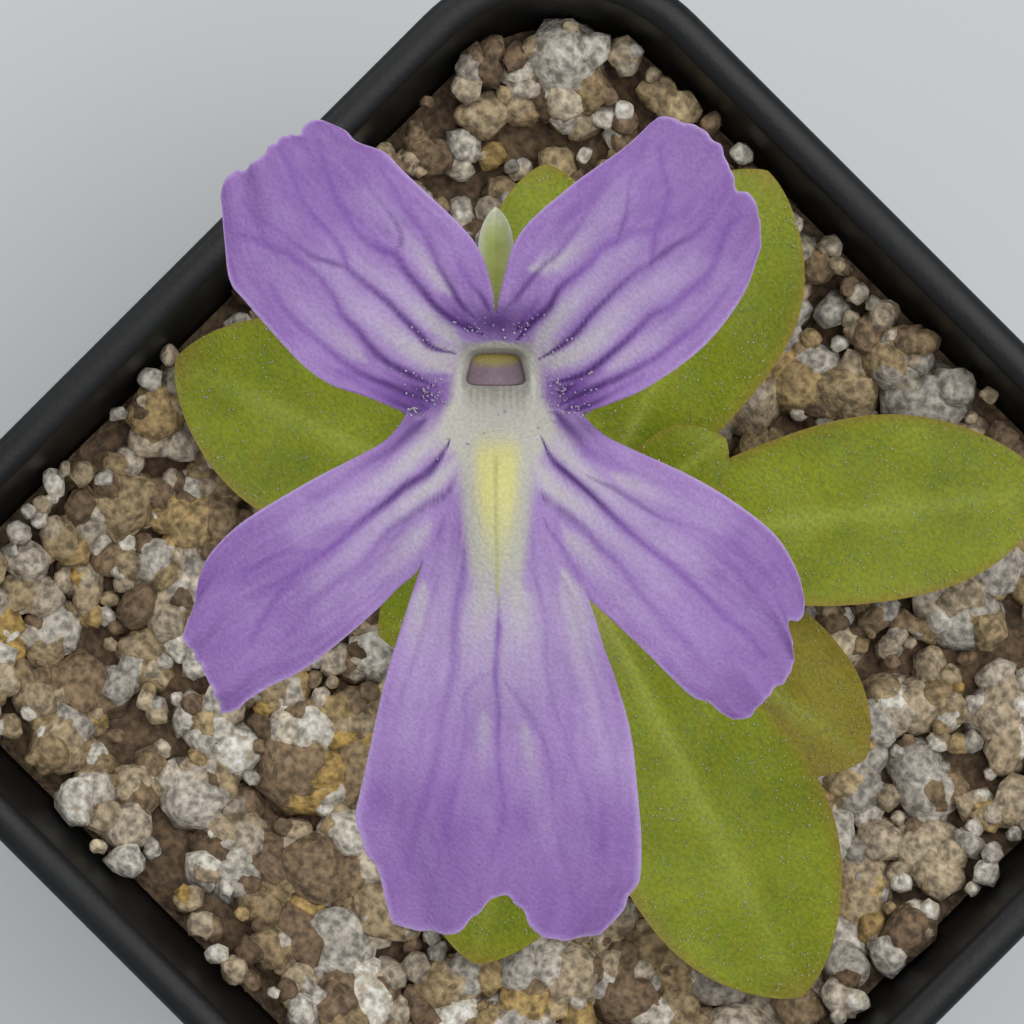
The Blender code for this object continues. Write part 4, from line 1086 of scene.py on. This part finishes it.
def leaf_surface(leaf, number, t, u):
    """Plan points of the leaf's middle sheet at share t of its length and u (-1 to 1) of its width."""
    direction, length, width, level, rise_middle, rise_tip = leaf
    half = np.maximum(width / 2 * leaf_width(t), 1.5 * (1 - t) ** 2.4)
    half = half * (1 + 0.025 * np.sin(9 * t + 2.1 * number) * np.sign(u))
    out = LEAF_FOOT + (length - LEAF_FOOT) * t - 0.25 * half * u**2 * t**6
    side = u * half
    belly = np.sin(math.pi * t)
    z = LEAF_LEVELS[level] + rise_middle * belly + rise_tip * t**2 + 0.35 * np.abs(u) ** 2.2 * belly**0.5
    groove = -0.16 * np.exp(-((side / 0.45) ** 2)) * (1 - t) ** 0.5
    quilt = 0.07 * np.sin(1.1 * out + 0.9 * np.abs(side) + number) * (1 - u**2) * belly
    curl = 0.3 * np.abs(u) ** 8 * belly**0.5
    turn = math.radians(direction)
    x = CROWN[0] + out * math.cos(turn) - side * math.sin(turn)
    y = CROWN[1] + out * math.sin(turn) + side * math.cos(turn)
    return np.stack([x, y, z + groove + quilt + curl], axis=-1)


def leaf_net(leaf, number, rows, columns):
    """Front and back of the sheet, half a thickness either way, thinning to the margins."""
    t = np.sin(np.linspace(0, 0.5, rows + 1) * math.pi)[:, None] + np.zeros((1, columns + 1))
    u = np.sin(np.linspace(-0.5, 0.5, columns + 1) * math.pi)[None, :] + 0 * t
    middle = leaf_surface(leaf, number, t, u)
    half = LEAF_HALF_THICKNESS * np.minimum(1 - 0.75 * np.abs(u) ** 5, 1 - 0.75 * t**14)[..., None]
    shift = half * (0, 0, 1)
    index = np.arange((rows + 1) * (columns + 1)).reshape(rows + 1, columns + 1)
    points, blocks = close_sheet((middle + shift).reshape(-1, 3), (middle - shift).reshape(-1, 3),
                                 [net_quads(index)])
    foot = np.tile(np.exp(-((t / 0.14) ** 2)).ravel(), 2)
    rib = np.tile((np.exp(-((u * (1 - 0.3 * t) / 0.09) ** 2)) * (1 - t) ** 0.5).ravel(), 2)
    margin = np.tile(np.maximum(np.abs(u) ** 14, t**30).ravel(), 2)
    return points, blocks, {"foot": foot, "rib": rib, "margin": margin}


print(len(LEAVES), "leaves")

# %% [markdown]
# The leaf skin is olive with yellow-green patches of some millimetres. It is greasy: rough overall,
# but with a film of slime on top that gives soft, broad highlights, and tiny pits between the glands.

# %% Leaf material
def leaf_material(name, light, dark, tan):
    """Olive patches, a paler rib, a pale foot and a brownish margin under a film of slime."""
    material, shader = start_material(
        name, Roughness=0.5, IOR=1.4, Coat_Weight=0.05, Coat_Roughness=0.25, Specular_IOR_Level=0.18,
        Subsurface_Weight=0.12, Subsurface_Radius=(0.8 * MM, 0.9 * MM, 0.2 * MM), Subsurface_Scale=1.0)
    broad = noise_share(material, 5.0, 0.35, 0.65, 3.0)
    mottle = noise_share(material, 0.9, 0.35, 0.65, 3.0)
    pits = noise_share(material, 0.22, 0.3, 0.7, 2.0)
    colour = paint_layers(material, linear(light), [
        (broad, dark), (share_of(material, mottle, 0.3), tan),
        ("rib", "#8C9636"), ("foot", "#9A9848"), ("margin", "#80702E"),
    ])
    colour = speckled(material, colour, 0.18, pits)
    material.node_tree.links.new(colour, shader.inputs["Base Color"])
    rough_and_bump(material, shader, mottle, 0.36, 0.55, pits, 0.05)
    return material


LEAF = leaf_material("greasy_leaf_skin", "#7A871A", "#62710E", "#857D1C")
TAN_LEAF = leaf_material("sunned_leaf_skin", "#7E781E", "#6C6414", "#8A742A")
for number, leaf in enumerate(LEAVES, 1):
    points, blocks, values = leaf_net(leaf, number, 64, 34)
    make_piece(f"leaf_skin_{number:02d}", to_pot(points), blocks, TAN_LEAF if number == 8 else LEAF,
               [f"leaf_{number:02d}"], values)

# %% [markdown]
# Thousands of glands cover the upper side: a bead of slime on a hair that ripples in the light. They
# are drawn evenly over each leaf's outline, so a wide leaf gets more of them than a small one.

# %% Leaf glands
def leaf_glands():
    """Draws t and u, and keeps a share of them that grows with the leaf's width there."""
    feet = []
    for number, leaf in enumerate(LEAVES, 1):
        wanted = int(2.4 * leaf[1] * leaf[2])
        t = DRAW.uniform(0.12, 0.985, wanted)
        u = DRAW.uniform(-0.95, 0.95, wanted)
        wide = leaf_width(t) > DRAW.uniform(0, 1, wanted)
        points = leaf_surface(leaf, number, t[wide], u[wide])
        feet.append(points + (0, 0, LEAF_HALF_THICKNESS * 0.9))
    return np.vstack(feet)


feet = leaf_glands()
upright = nearly_upright(len(feet), 0.2)
LEAF_BEAD = slime_material("leaf_gland_slime", "#C6CC86", 0.1)
points, beads = stalked_glands(feet, DRAW.uniform(0.03, 0.06, len(feet)), 2.0, upright)
make_piece("leaf_glands", to_pot(points), beads, LEAF_BEAD)

# %% [markdown]
# ## Crown
# The leaves and the stalk all leave one short upright stem, half buried in the grit. Five young leaves
# stand cupped round the stalk's foot, as in the middle of a living rosette.

# %% The rootstock
# each young leaf: its direction in degrees, length, width and lean
YOUNG_LEAVES = [(85, 3.8, 2.3, 1.9), (185, 3.4, 2.2, 1.7), (300, 3.6, 2.3, 1.8), (15, 2.5, 1.8, 0.9),
                (245, 2.2, 1.7, 0.8)]
YOUNG_ROWS, YOUNG_COLUMNS = 20, 14


def young_leaf(direction, length, width, lean):
    """A cupped sheet that rises beside the stalk: its radius grows as the share to power 1.5."""
    t = np.sin(np.linspace(0, 0.5, YOUNG_ROWS + 1) * math.pi)[:, None]
    u = np.linspace(-1, 1, YOUNG_COLUMNS + 1)[None, :]
    half = width / 2 * np.sqrt(1 - t**2) * (0.7 + 0.5 * t) + 0.01
    reach = 1.1 + lean * t**1.5 - 0.45 * half * u**2
    z = 56.5 + length * t * (1 - 0.2 * t) + 0 * u
    thick = 0.16 * (1 - 0.6 * np.abs(u) ** 4) * (1 - 0.6 * t**6)
    turn = math.radians(direction)
    sheets_of_leaf = []
    for sign in (-1, 1):
        away = reach + sign * thick
        x = CROWN[0] + away * math.cos(turn) - u * half * math.sin(turn)
        y = CROWN[1] + away * math.sin(turn) + u * half * math.cos(turn)
        sheets_of_leaf.append(np.stack([x, y, z], axis=-1).reshape(-1, 3))
    index = np.arange(z.size).reshape(z.shape)
    return close_sheet(*sheets_of_leaf, [net_quads(index)])


CROWN_SKIN = plant_skin_material("pale_crown_skin", "#8E9440", "#6F7A2A", 0.6, 1.2)
line = smooth_line([(CROWN[0], CROWN[1], 44.1, 1.2), (CROWN[0], CROWN[1], 46.0, 2.0),
                    (CROWN[0], CROWN[1], 52.0, 2.25), (CROWN[0], CROWN[1], 56.4, 2.1),
                    (CROWN[0], CROWN[1], 57.5, 1.1)], 40)
stem = tube_net(line[:, :3], line[:, 3], 32)
points, blocks = gather([stem, *[young_leaf(*leaf) for leaf in YOUNG_LEAVES]])
make_piece("crown", to_pot(points), blocks, CROWN_SKIN, ["rootstock"])

# %% [markdown]
# ## The pot's plan
# Seen from above, the pot is a square with rounded corners that grows with height. The soil needs that
# plan before the pot does: the side and the corner at a height, and a ring of points made from them.

# %% The pot's plan at each height
POT_SIZE = {"height": 58.0, "base": 46.0, "top": 59.2, "wall": 1.1, "floor": 1.5}
CORNER_STEPS = 26


def pot_side(z):
    """Outer side of the square at height z, from 46 at the base to 59.2 at the top."""
    return POT_SIZE["base"] + (POT_SIZE["top"] - POT_SIZE["base"]) * z / POT_SIZE["height"]


def pot_corner(z):
    """Outer corner radius at height z, from 6 to 10."""
    return 6 + 4 * z / POT_SIZE["height"]


def square_ring(side, corner, z):
    """A closed ring of a square with rounded corners; the straight sides carry points too."""
    turns = np.linspace(0, math.pi / 2, CORNER_STEPS)
    quarter = np.column_stack([np.cos(turns), np.sin(turns)]) * corner + (side / 2 - corner)
    run = np.linspace(quarter[-1], (-quarter[-1][0], quarter[-1][1]), 12)[1:-1]
    quarter = np.vstack([quarter, run])
    rings = []
    for k in range(4):
        c, s = math.cos(k * math.pi / 2), math.sin(k * math.pi / 2)
        rings.append(quarter @ np.array([[c, s], [-s, c]]))
    flat = np.vstack(rings)
    return np.column_stack([flat, np.full(len(flat), z)])


print("a ring has", len(square_ring(50, 8, 0)), "points")

# %% [markdown]
# ## Grit
# The soil is an open mineral mix: pumice, grit and a little bark in three sizes. The grains are drawn
# at random inside the pot's plan, stand higher towards the walls and stay under the leaves. Each is a
# ball of 80 faces pushed into facets, squashed and turned at random, and it carries one number that
# picks its stone.

# %% Grains
SOIL_TOP = 51.2
WALL_HEAP = 3.0
HEAPED_TOP, GRAIN_CEILING = 53.0, 53.6
PLAN_POWER, INNER_HALF = 6.3, 27.9
# each size: how many grains, and their smallest and largest radius
GRAIN_SIZES = ((265, 1.7, 2.8), (880, 0.95, 1.6), (1170, 0.45, 0.9))


def inside_pot(x, y, room, z):
    """True where the point is at least room inside the pot's inner wall at height z."""
    corner = pot_corner(z) - POT_SIZE["wall"]
    over = np.maximum(np.abs(np.stack([x, y])) - (pot_side(z) / 2 - POT_SIZE["wall"] - corner), 0)
    return np.hypot(over[0], over[1]) < corner - 0.85 * room


def wall_heap(x, y):
    """Extra height from 0.8 of the way out to a superellipse that is close to the inner plan."""
    share = (np.abs(x) ** PLAN_POWER + np.abs(y) ** PLAN_POWER) ** (1 / PLAN_POWER) / INNER_HALF
    return WALL_HEAP * smooth_step(share, 0.8, 1.0)


def under_leaves(x, y, radii):
    """Height just under the lowest leaf above each grain, or the pot's height where no leaf is near."""
    lowest = np.full(len(x), POT_SIZE["height"])
    t, u = np.meshgrid(np.linspace(0, 1, 40), np.linspace(-1, 1, 16))
    for number, leaf in enumerate(LEAVES, 1):
        leaf_points = to_pot(leaf_surface(leaf, number, t.ravel(), u.ravel()))
        away = np.hypot(x[:, None] - leaf_points[:, 0], y[:, None] - leaf_points[:, 1])
        height = np.where(away < radii[:, None] + 0.5, leaf_points[:, 2], POT_SIZE["height"])
        lowest = np.minimum(lowest, height.min(axis=1))
    return lowest - LEAF_HALF_THICKNESS - 0.1


def drawn_grains(number, small, large):
    """Centres, radii and highest points of one size; larger grains lie a little lower in the bed."""
    x, y = DRAW.uniform(-28, 28, (2, 4 * number))
    radii = DRAW.uniform(small, large, 4 * number)
    kept = np.flatnonzero(inside_pot(x, y, radii, HEAPED_TOP))[:number]
    x, y, radii = x[kept], y[kept], radii[kept]
    heap = wall_heap(x, y)
    z = SOIL_TOP - 0.55 * radii + DRAW.uniform(-0.3, 0.35, len(kept)) + heap
    top = np.minimum(GRAIN_CEILING + 0.75 * heap, under_leaves(x, y, radii))
    return np.column_stack([x, y, np.minimum(z, top - 0.5 * radii)]), radii, top


def faces_out(placed, index):
    """Turns a grain's faces round where its random frame was a mirror image."""
    flat = placed.reshape(-1, 3)
    a, b, c = flat[index[..., 0]], flat[index[..., 1]], flat[index[..., 2]]
    outward = np.einsum("nki,nki->n", np.cross(b - a, c - a), a - placed.mean(axis=1)[:, None])
    return np.where((outward < 0)[:, None, None], index[..., ::-1], index).reshape(-1, 3)


def grain_mesh():
    """Icospheres with each point moved out or in, squashed, turned by a random frame and placed."""
    ball, faces = ball_template(2)
    nets, tones = [], []
    for number, small, large in GRAIN_SIZES:
        centres, radii, tops = drawn_grains(number, small, large)
        rough = ball[None] * (1 + DRAW.normal(0, 0.13, (len(centres), len(ball), 1)))
        rough = np.sign(rough) * np.abs(rough) ** 0.82
        rough = rough * DRAW.uniform(0.62, 1.0, (len(centres), 1, 3))
        frames = np.linalg.qr(DRAW.normal(size=(len(centres), 3, 3)))[0]
        turned = np.einsum("nij,nkj->nki", frames, rough)
        placed = centres[:, None] + turned * radii[:, None, None]
        placed[..., 2] = np.minimum(placed[..., 2], tops[:, None])
        index = faces[None] + (np.arange(len(centres)) * len(ball))[:, None, None]
        nets.append((placed.reshape(-1, 3), [faces_out(placed, index)]))
        tones.append(np.repeat(DRAW.uniform(0, 1, len(centres)), len(ball)))
    points, blocks = gather(nets)
    return points, blocks, np.concatenate(tones)


print(sum(size[0] for size in GRAIN_SIZES), "grains")

# %% [markdown]
# Stone colours run from grey-white pumice over beige and tan to brown bark and a few golden grains. A
# dry mineral is very rough; fine noise breaks each grain's colour and gives it a sandy bump. Under the
# grains a plain bed closes the gaps between them. Its dark brown is the darkest soil colour, and it also
# stands as painted shade for the deep gaps.

# %% Grit material and the bed
def grit_material():
    """A stepped colour ramp over each grain's number, speckled and dusted by noise."""
    material, shader = start_material("dry_mineral_grit", Roughness=0.9, Specular_IOR_Level=0.3)
    tone = add_node(material, "ShaderNodeAttribute", attribute_name="tone").outputs["Fac"]
    ramp = add_node(material, "ShaderNodeValToRGB", {0: tone})
    stops = [(0.0, "#5E4C3A"), (0.12, "#7A6650"), (0.28, "#96825F"), (0.45, "#AC9C84"), (0.62, "#BDB6AA"),
             (0.76, "#9A948A"), (0.88, "#A5874A"), (0.93, "#CFC9BC")]
    elements = ramp.color_ramp.elements
    while len(elements) < len(stops):
        elements.new(0.5)
    for element, (place, hex_colour) in zip(elements, stops):
        element.position = place
        element.color = linear(hex_colour)
    speck = noise_share(material, 0.5, 0.35, 0.65, 4.0)
    dust = noise_share(material, 2.2, 0.4, 0.7, 3.0)
    colour = paint_layers(material, ramp.outputs[0], [(share_of(material, dust, 0.35), "#5A4A38")])
    colour = speckled(material, colour, 0.5, speck)
    material.node_tree.links.new(colour, shader.inputs["Base Color"])
    rough_and_bump(material, shader, speck, 0.8, 0.98, speck, 0.12)
    return material


def bed_net(rows):
    """Rings of the pot's inner plan, from the middle out at the top, down the wall, and in at the bottom."""
    top, bottom = SOIL_TOP - 1.6, POT_SIZE["floor"] + 0.1
    outer = [square_ring(pot_side(z) - 2 * POT_SIZE["wall"] - 0.1, pot_corner(z) - POT_SIZE["wall"], z)
             for z in np.linspace(top, bottom, 12)]
    reach = np.linspace(0, 1, rows + 1)[1:, None]
    cap = outer[0][None] * np.concatenate([reach, reach, reach * 0 + 1], axis=1)[:, None]
    cap[..., 2] += 0.3 * np.sin(0.9 * cap[..., 0] + 1.3) * np.cos(1.1 * cap[..., 1])
    cap[..., 2] += 0.6 * wall_heap(cap[..., 0], cap[..., 1])
    rings = np.concatenate([cap, np.stack(outer[1:]), (outer[-1] * (0.5, 0.5, 1))[None]])
    points, blocks = capped_rings(rings, (0, 0, top), (0, 0, bottom))
    return points, [block[:, ::-1] for block in blocks]


GRIT = grit_material()
bed_points, bed_blocks = bed_net(14)
grain_points, grain_blocks, tones = grain_mesh()
points, blocks = gather([(bed_points, bed_blocks), (grain_points, grain_blocks)])
# the bed takes the ramp's darkest brown: the soil's own brown, and also painted shade for the deep gaps
# between grains
tones = np.concatenate([np.full(len(bed_points), 0.02), tones])
make_piece("grit", points, blocks, GRIT, ["soil"], {"tone": tones})

# %% [markdown]
# ## Pot
# A square nursery pot is moulded in one shot from black polypropylene: walls of about a millimetre that
# lean out, a rolled rim, rounded corners and drain holes in the floor. Here the corners get many more
# steps and the rim a true round.

# %% Pot walls
LIP_LEVEL = 57.5
HOLES = [(x, y) for x in (-14.5, 14.5) for y in (-14.5, 14.5)]
HOLE_RADIUS, HOLE_SIDES, CUTTER_ENDS = 2.4, 40, (-1.0, 3.0)


def wall_ring(z, grow=0.0, rounding=0.0):
    """The pot's outer ring at height z, its side larger by grow and its corner radius by rounding."""
    return square_ring(pot_side(z) + grow, pot_corner(z) + rounding, z)


def pot_net():
    """Rings from the floor's underside, up the wall, over the rim and down inside to the floor."""
    wall, floor_top = POT_SIZE["wall"], POT_SIZE["floor"]
    rings = [square_ring(36, 4, 0.6), square_ring(42.6, 5, 0.6), square_ring(43.4, 5.2, 0.1),
             wall_ring(0.0, -1.4, -0.5), square_ring(pot_side(0) - 0.5, pot_corner(0), 0.25),
             square_ring(pot_side(0), pot_corner(0), 0.9)]
    rings += [wall_ring(z) for z in np.linspace(2, 52.2, 26)]
    rings += [square_ring(pot_side(52.5) + grow, pot_corner(53) + grow / 2, 52.4 + rise)
              for grow, rise in ((0.1, 0.0), (0.5, 0.15), (1.2, 0.35), (1.75, 0.5), (2.0, 0.8))]
    rings += [wall_ring(z, grow, 1.0) for z, grow in ((54.0, 2.0), (55.2, 2.0), (56.4, 2.0), (57.1, 1.9))]
    outer, inner = pot_side(LIP_LEVEL) + 1.85, pot_side(LIP_LEVEL) - 2 * wall
    for turn in np.linspace(0.25, math.pi - 0.25, 9):
        side = (outer + inner) / 2 + (outer - inner) / 2 * math.cos(turn)
        corner = pot_corner(LIP_LEVEL) + (side - pot_side(LIP_LEVEL)) / 2
        rings.append(square_ring(side, corner, 57.35 + 0.6 * math.sin(turn)))
    rings += [wall_ring(z, -2 * wall, -wall) for z in np.linspace(57.2, 3.0, 24)]
    rings += [wall_ring(2.0, -2.6, -1.3), square_ring(pot_side(2) - 4.6, pot_corner(2) - 2.0, floor_top),
              square_ring(34, 4, floor_top)]
    return capped_rings(np.stack(rings), (0, 0, 0.6), (0, 0, floor_top))


def plastic_material():
    """Black polypropylene: nearly black, half rough, with the faint orange-peel of a worn mould."""
    material, shader = start_material("black_moulded_polypropylene", Roughness=0.45, IOR=1.49,
                                      Specular_IOR_Level=0.3)
    cloud = noise_share(material, 9.0, 0.35, 0.65, 3.0)
    grain = noise_share(material, 0.35, 0.3, 0.7, 2.0)
    colour = paint_layers(material, linear("#0F1011"), [(cloud, "#161718")])
    material.node_tree.links.new(colour, shader.inputs["Base Color"])
    rough_and_bump(material, shader, cloud, 0.42, 0.5, grain, 0.015)
    return material


def cut_holes(piece, places, radius):
    """Cuts a prism of HOLE_SIDES sides through the floor at each place, and keeps the result."""
    nets = []
    turns = np.linspace(0, 2 * math.pi, HOLE_SIDES, endpoint=False)
    for x, y in places:
        circle = np.column_stack([x + radius * np.cos(turns), y + radius * np.sin(turns), 0 * turns])
        rings = np.stack([circle + (0, 0, z) for z in CUTTER_ENDS])
        nets.append(capped_rings(rings, *[(x, y, z) for z in CUTTER_ENDS]))
    cutter = bpy.data.objects.new("hole_cutter", mesh_of("hole_cutter", *gather(nets)))
    bpy.context.scene.collection.objects.link(cutter)
    cut = piece.modifiers.new("drain holes", "BOOLEAN")
    cut.operation, cut.object, cut.solver = "DIFFERENCE", cutter, "EXACT"
    graph = bpy.context.evaluated_depsgraph_get()
    result = bpy.data.meshes.new_from_object(piece.evaluated_get(graph))
    piece.modifiers.clear()
    piece.data = result
    bpy.data.objects.remove(cutter)
    print(piece.name, "has", len(result.polygons), "faces after the cut")


PLASTIC = plastic_material()
points, blocks = pot_net()
pot = make_piece("moulded_pot", points, blocks, PLASTIC, ["pot"])
cut_holes(pot, HOLES, HOLE_RADIUS)
pot.data.shade_smooth()
pot.data.set_sharp_from_angle(angle=math.radians(40))

# %% [markdown]
# ## Floor, light and camera
# A pale matt floor and big soft lights, as under an overcast sky. The camera looks straight down from
# above the flower, turned with the plan, so the upper lip points up in the picture.

# %% Floor and lights
def floor_piece(size):
    """A square at z = 0 in pale grey paint."""
    material, shader = start_material("pale_floor_paint", Roughness=0.85)
    shade = noise_share(material, 60.0, 0.3, 0.7, 1.0)
    colour = paint_layers(material, linear("#C5C7C8"), [(shade, "#C4C6C7")])
    material.node_tree.links.new(colour, shader.inputs["Base Color"])
    mesh = bpy.data.meshes.new("floor")
    corners = [(-size, -size, 0), (size, -size, 0), (size, size, 0), (-size, size, 0)]
    mesh.from_pydata(corners, [], [(0, 1, 2, 3)])
    mesh.materials.append(material)
    floor = bpy.data.objects.new("floor", mesh)
    bpy.context.scene.collection.objects.link(floor)


def add_light(name, watts, size, place, aim):
    """A square lamp at place (metres) turned so that its -Z axis points at aim."""
    lamp = bpy.data.lights.new(name, "AREA")
    lamp.energy, lamp.size, lamp.shape = watts, size, "SQUARE"
    holder = bpy.data.objects.new(name, lamp)
    bpy.context.scene.collection.objects.link(holder)
    away = Vector(place) - Vector(aim)
    holder.matrix_world = Matrix.Translation(place) @ away.to_track_quat("Z", "Y").to_matrix().to_4x4()


floor_piece(3.0)
AIM = (0.0, 0.0, 0.09)
add_light("sky", 46.0, 2.2, (0.3, 0.8, 2.4), AIM)
add_light("side", 12.0, 1.4, (-1.9, 0.5, 1.5), AIM)
world = bpy.data.worlds.new("overcast")
world.use_nodes = True
world.node_tree.nodes["Background"].inputs["Color"].default_value = linear("#E4E7EA")
world.node_tree.nodes["Background"].inputs["Strength"].default_value = 0.55
bpy.context.scene.world = world
bpy.context.scene.view_settings.view_transform = "Standard"

# %% [markdown]
# The camera is a short telephoto close to the flower. Its height makes the flower fill the same share
# of the frame as the leaves and the rim below it do.

# %% Camera
lens = bpy.data.cameras.new("camera")
lens.lens, lens.sensor_width, lens.clip_start = 129.5, 36.0, 0.005
camera = bpy.data.objects.new("camera", lens)
camera.location = (-7.03 * MM, 3.20 * MM, 266 * MM)
camera.rotation_euler = (0, 0, PLAN_TURN)
bpy.context.scene.collection.objects.link(camera)
bpy.context.scene.camera = camera
print("camera at", [round(v / MM, 1) for v in camera.location], "mm")
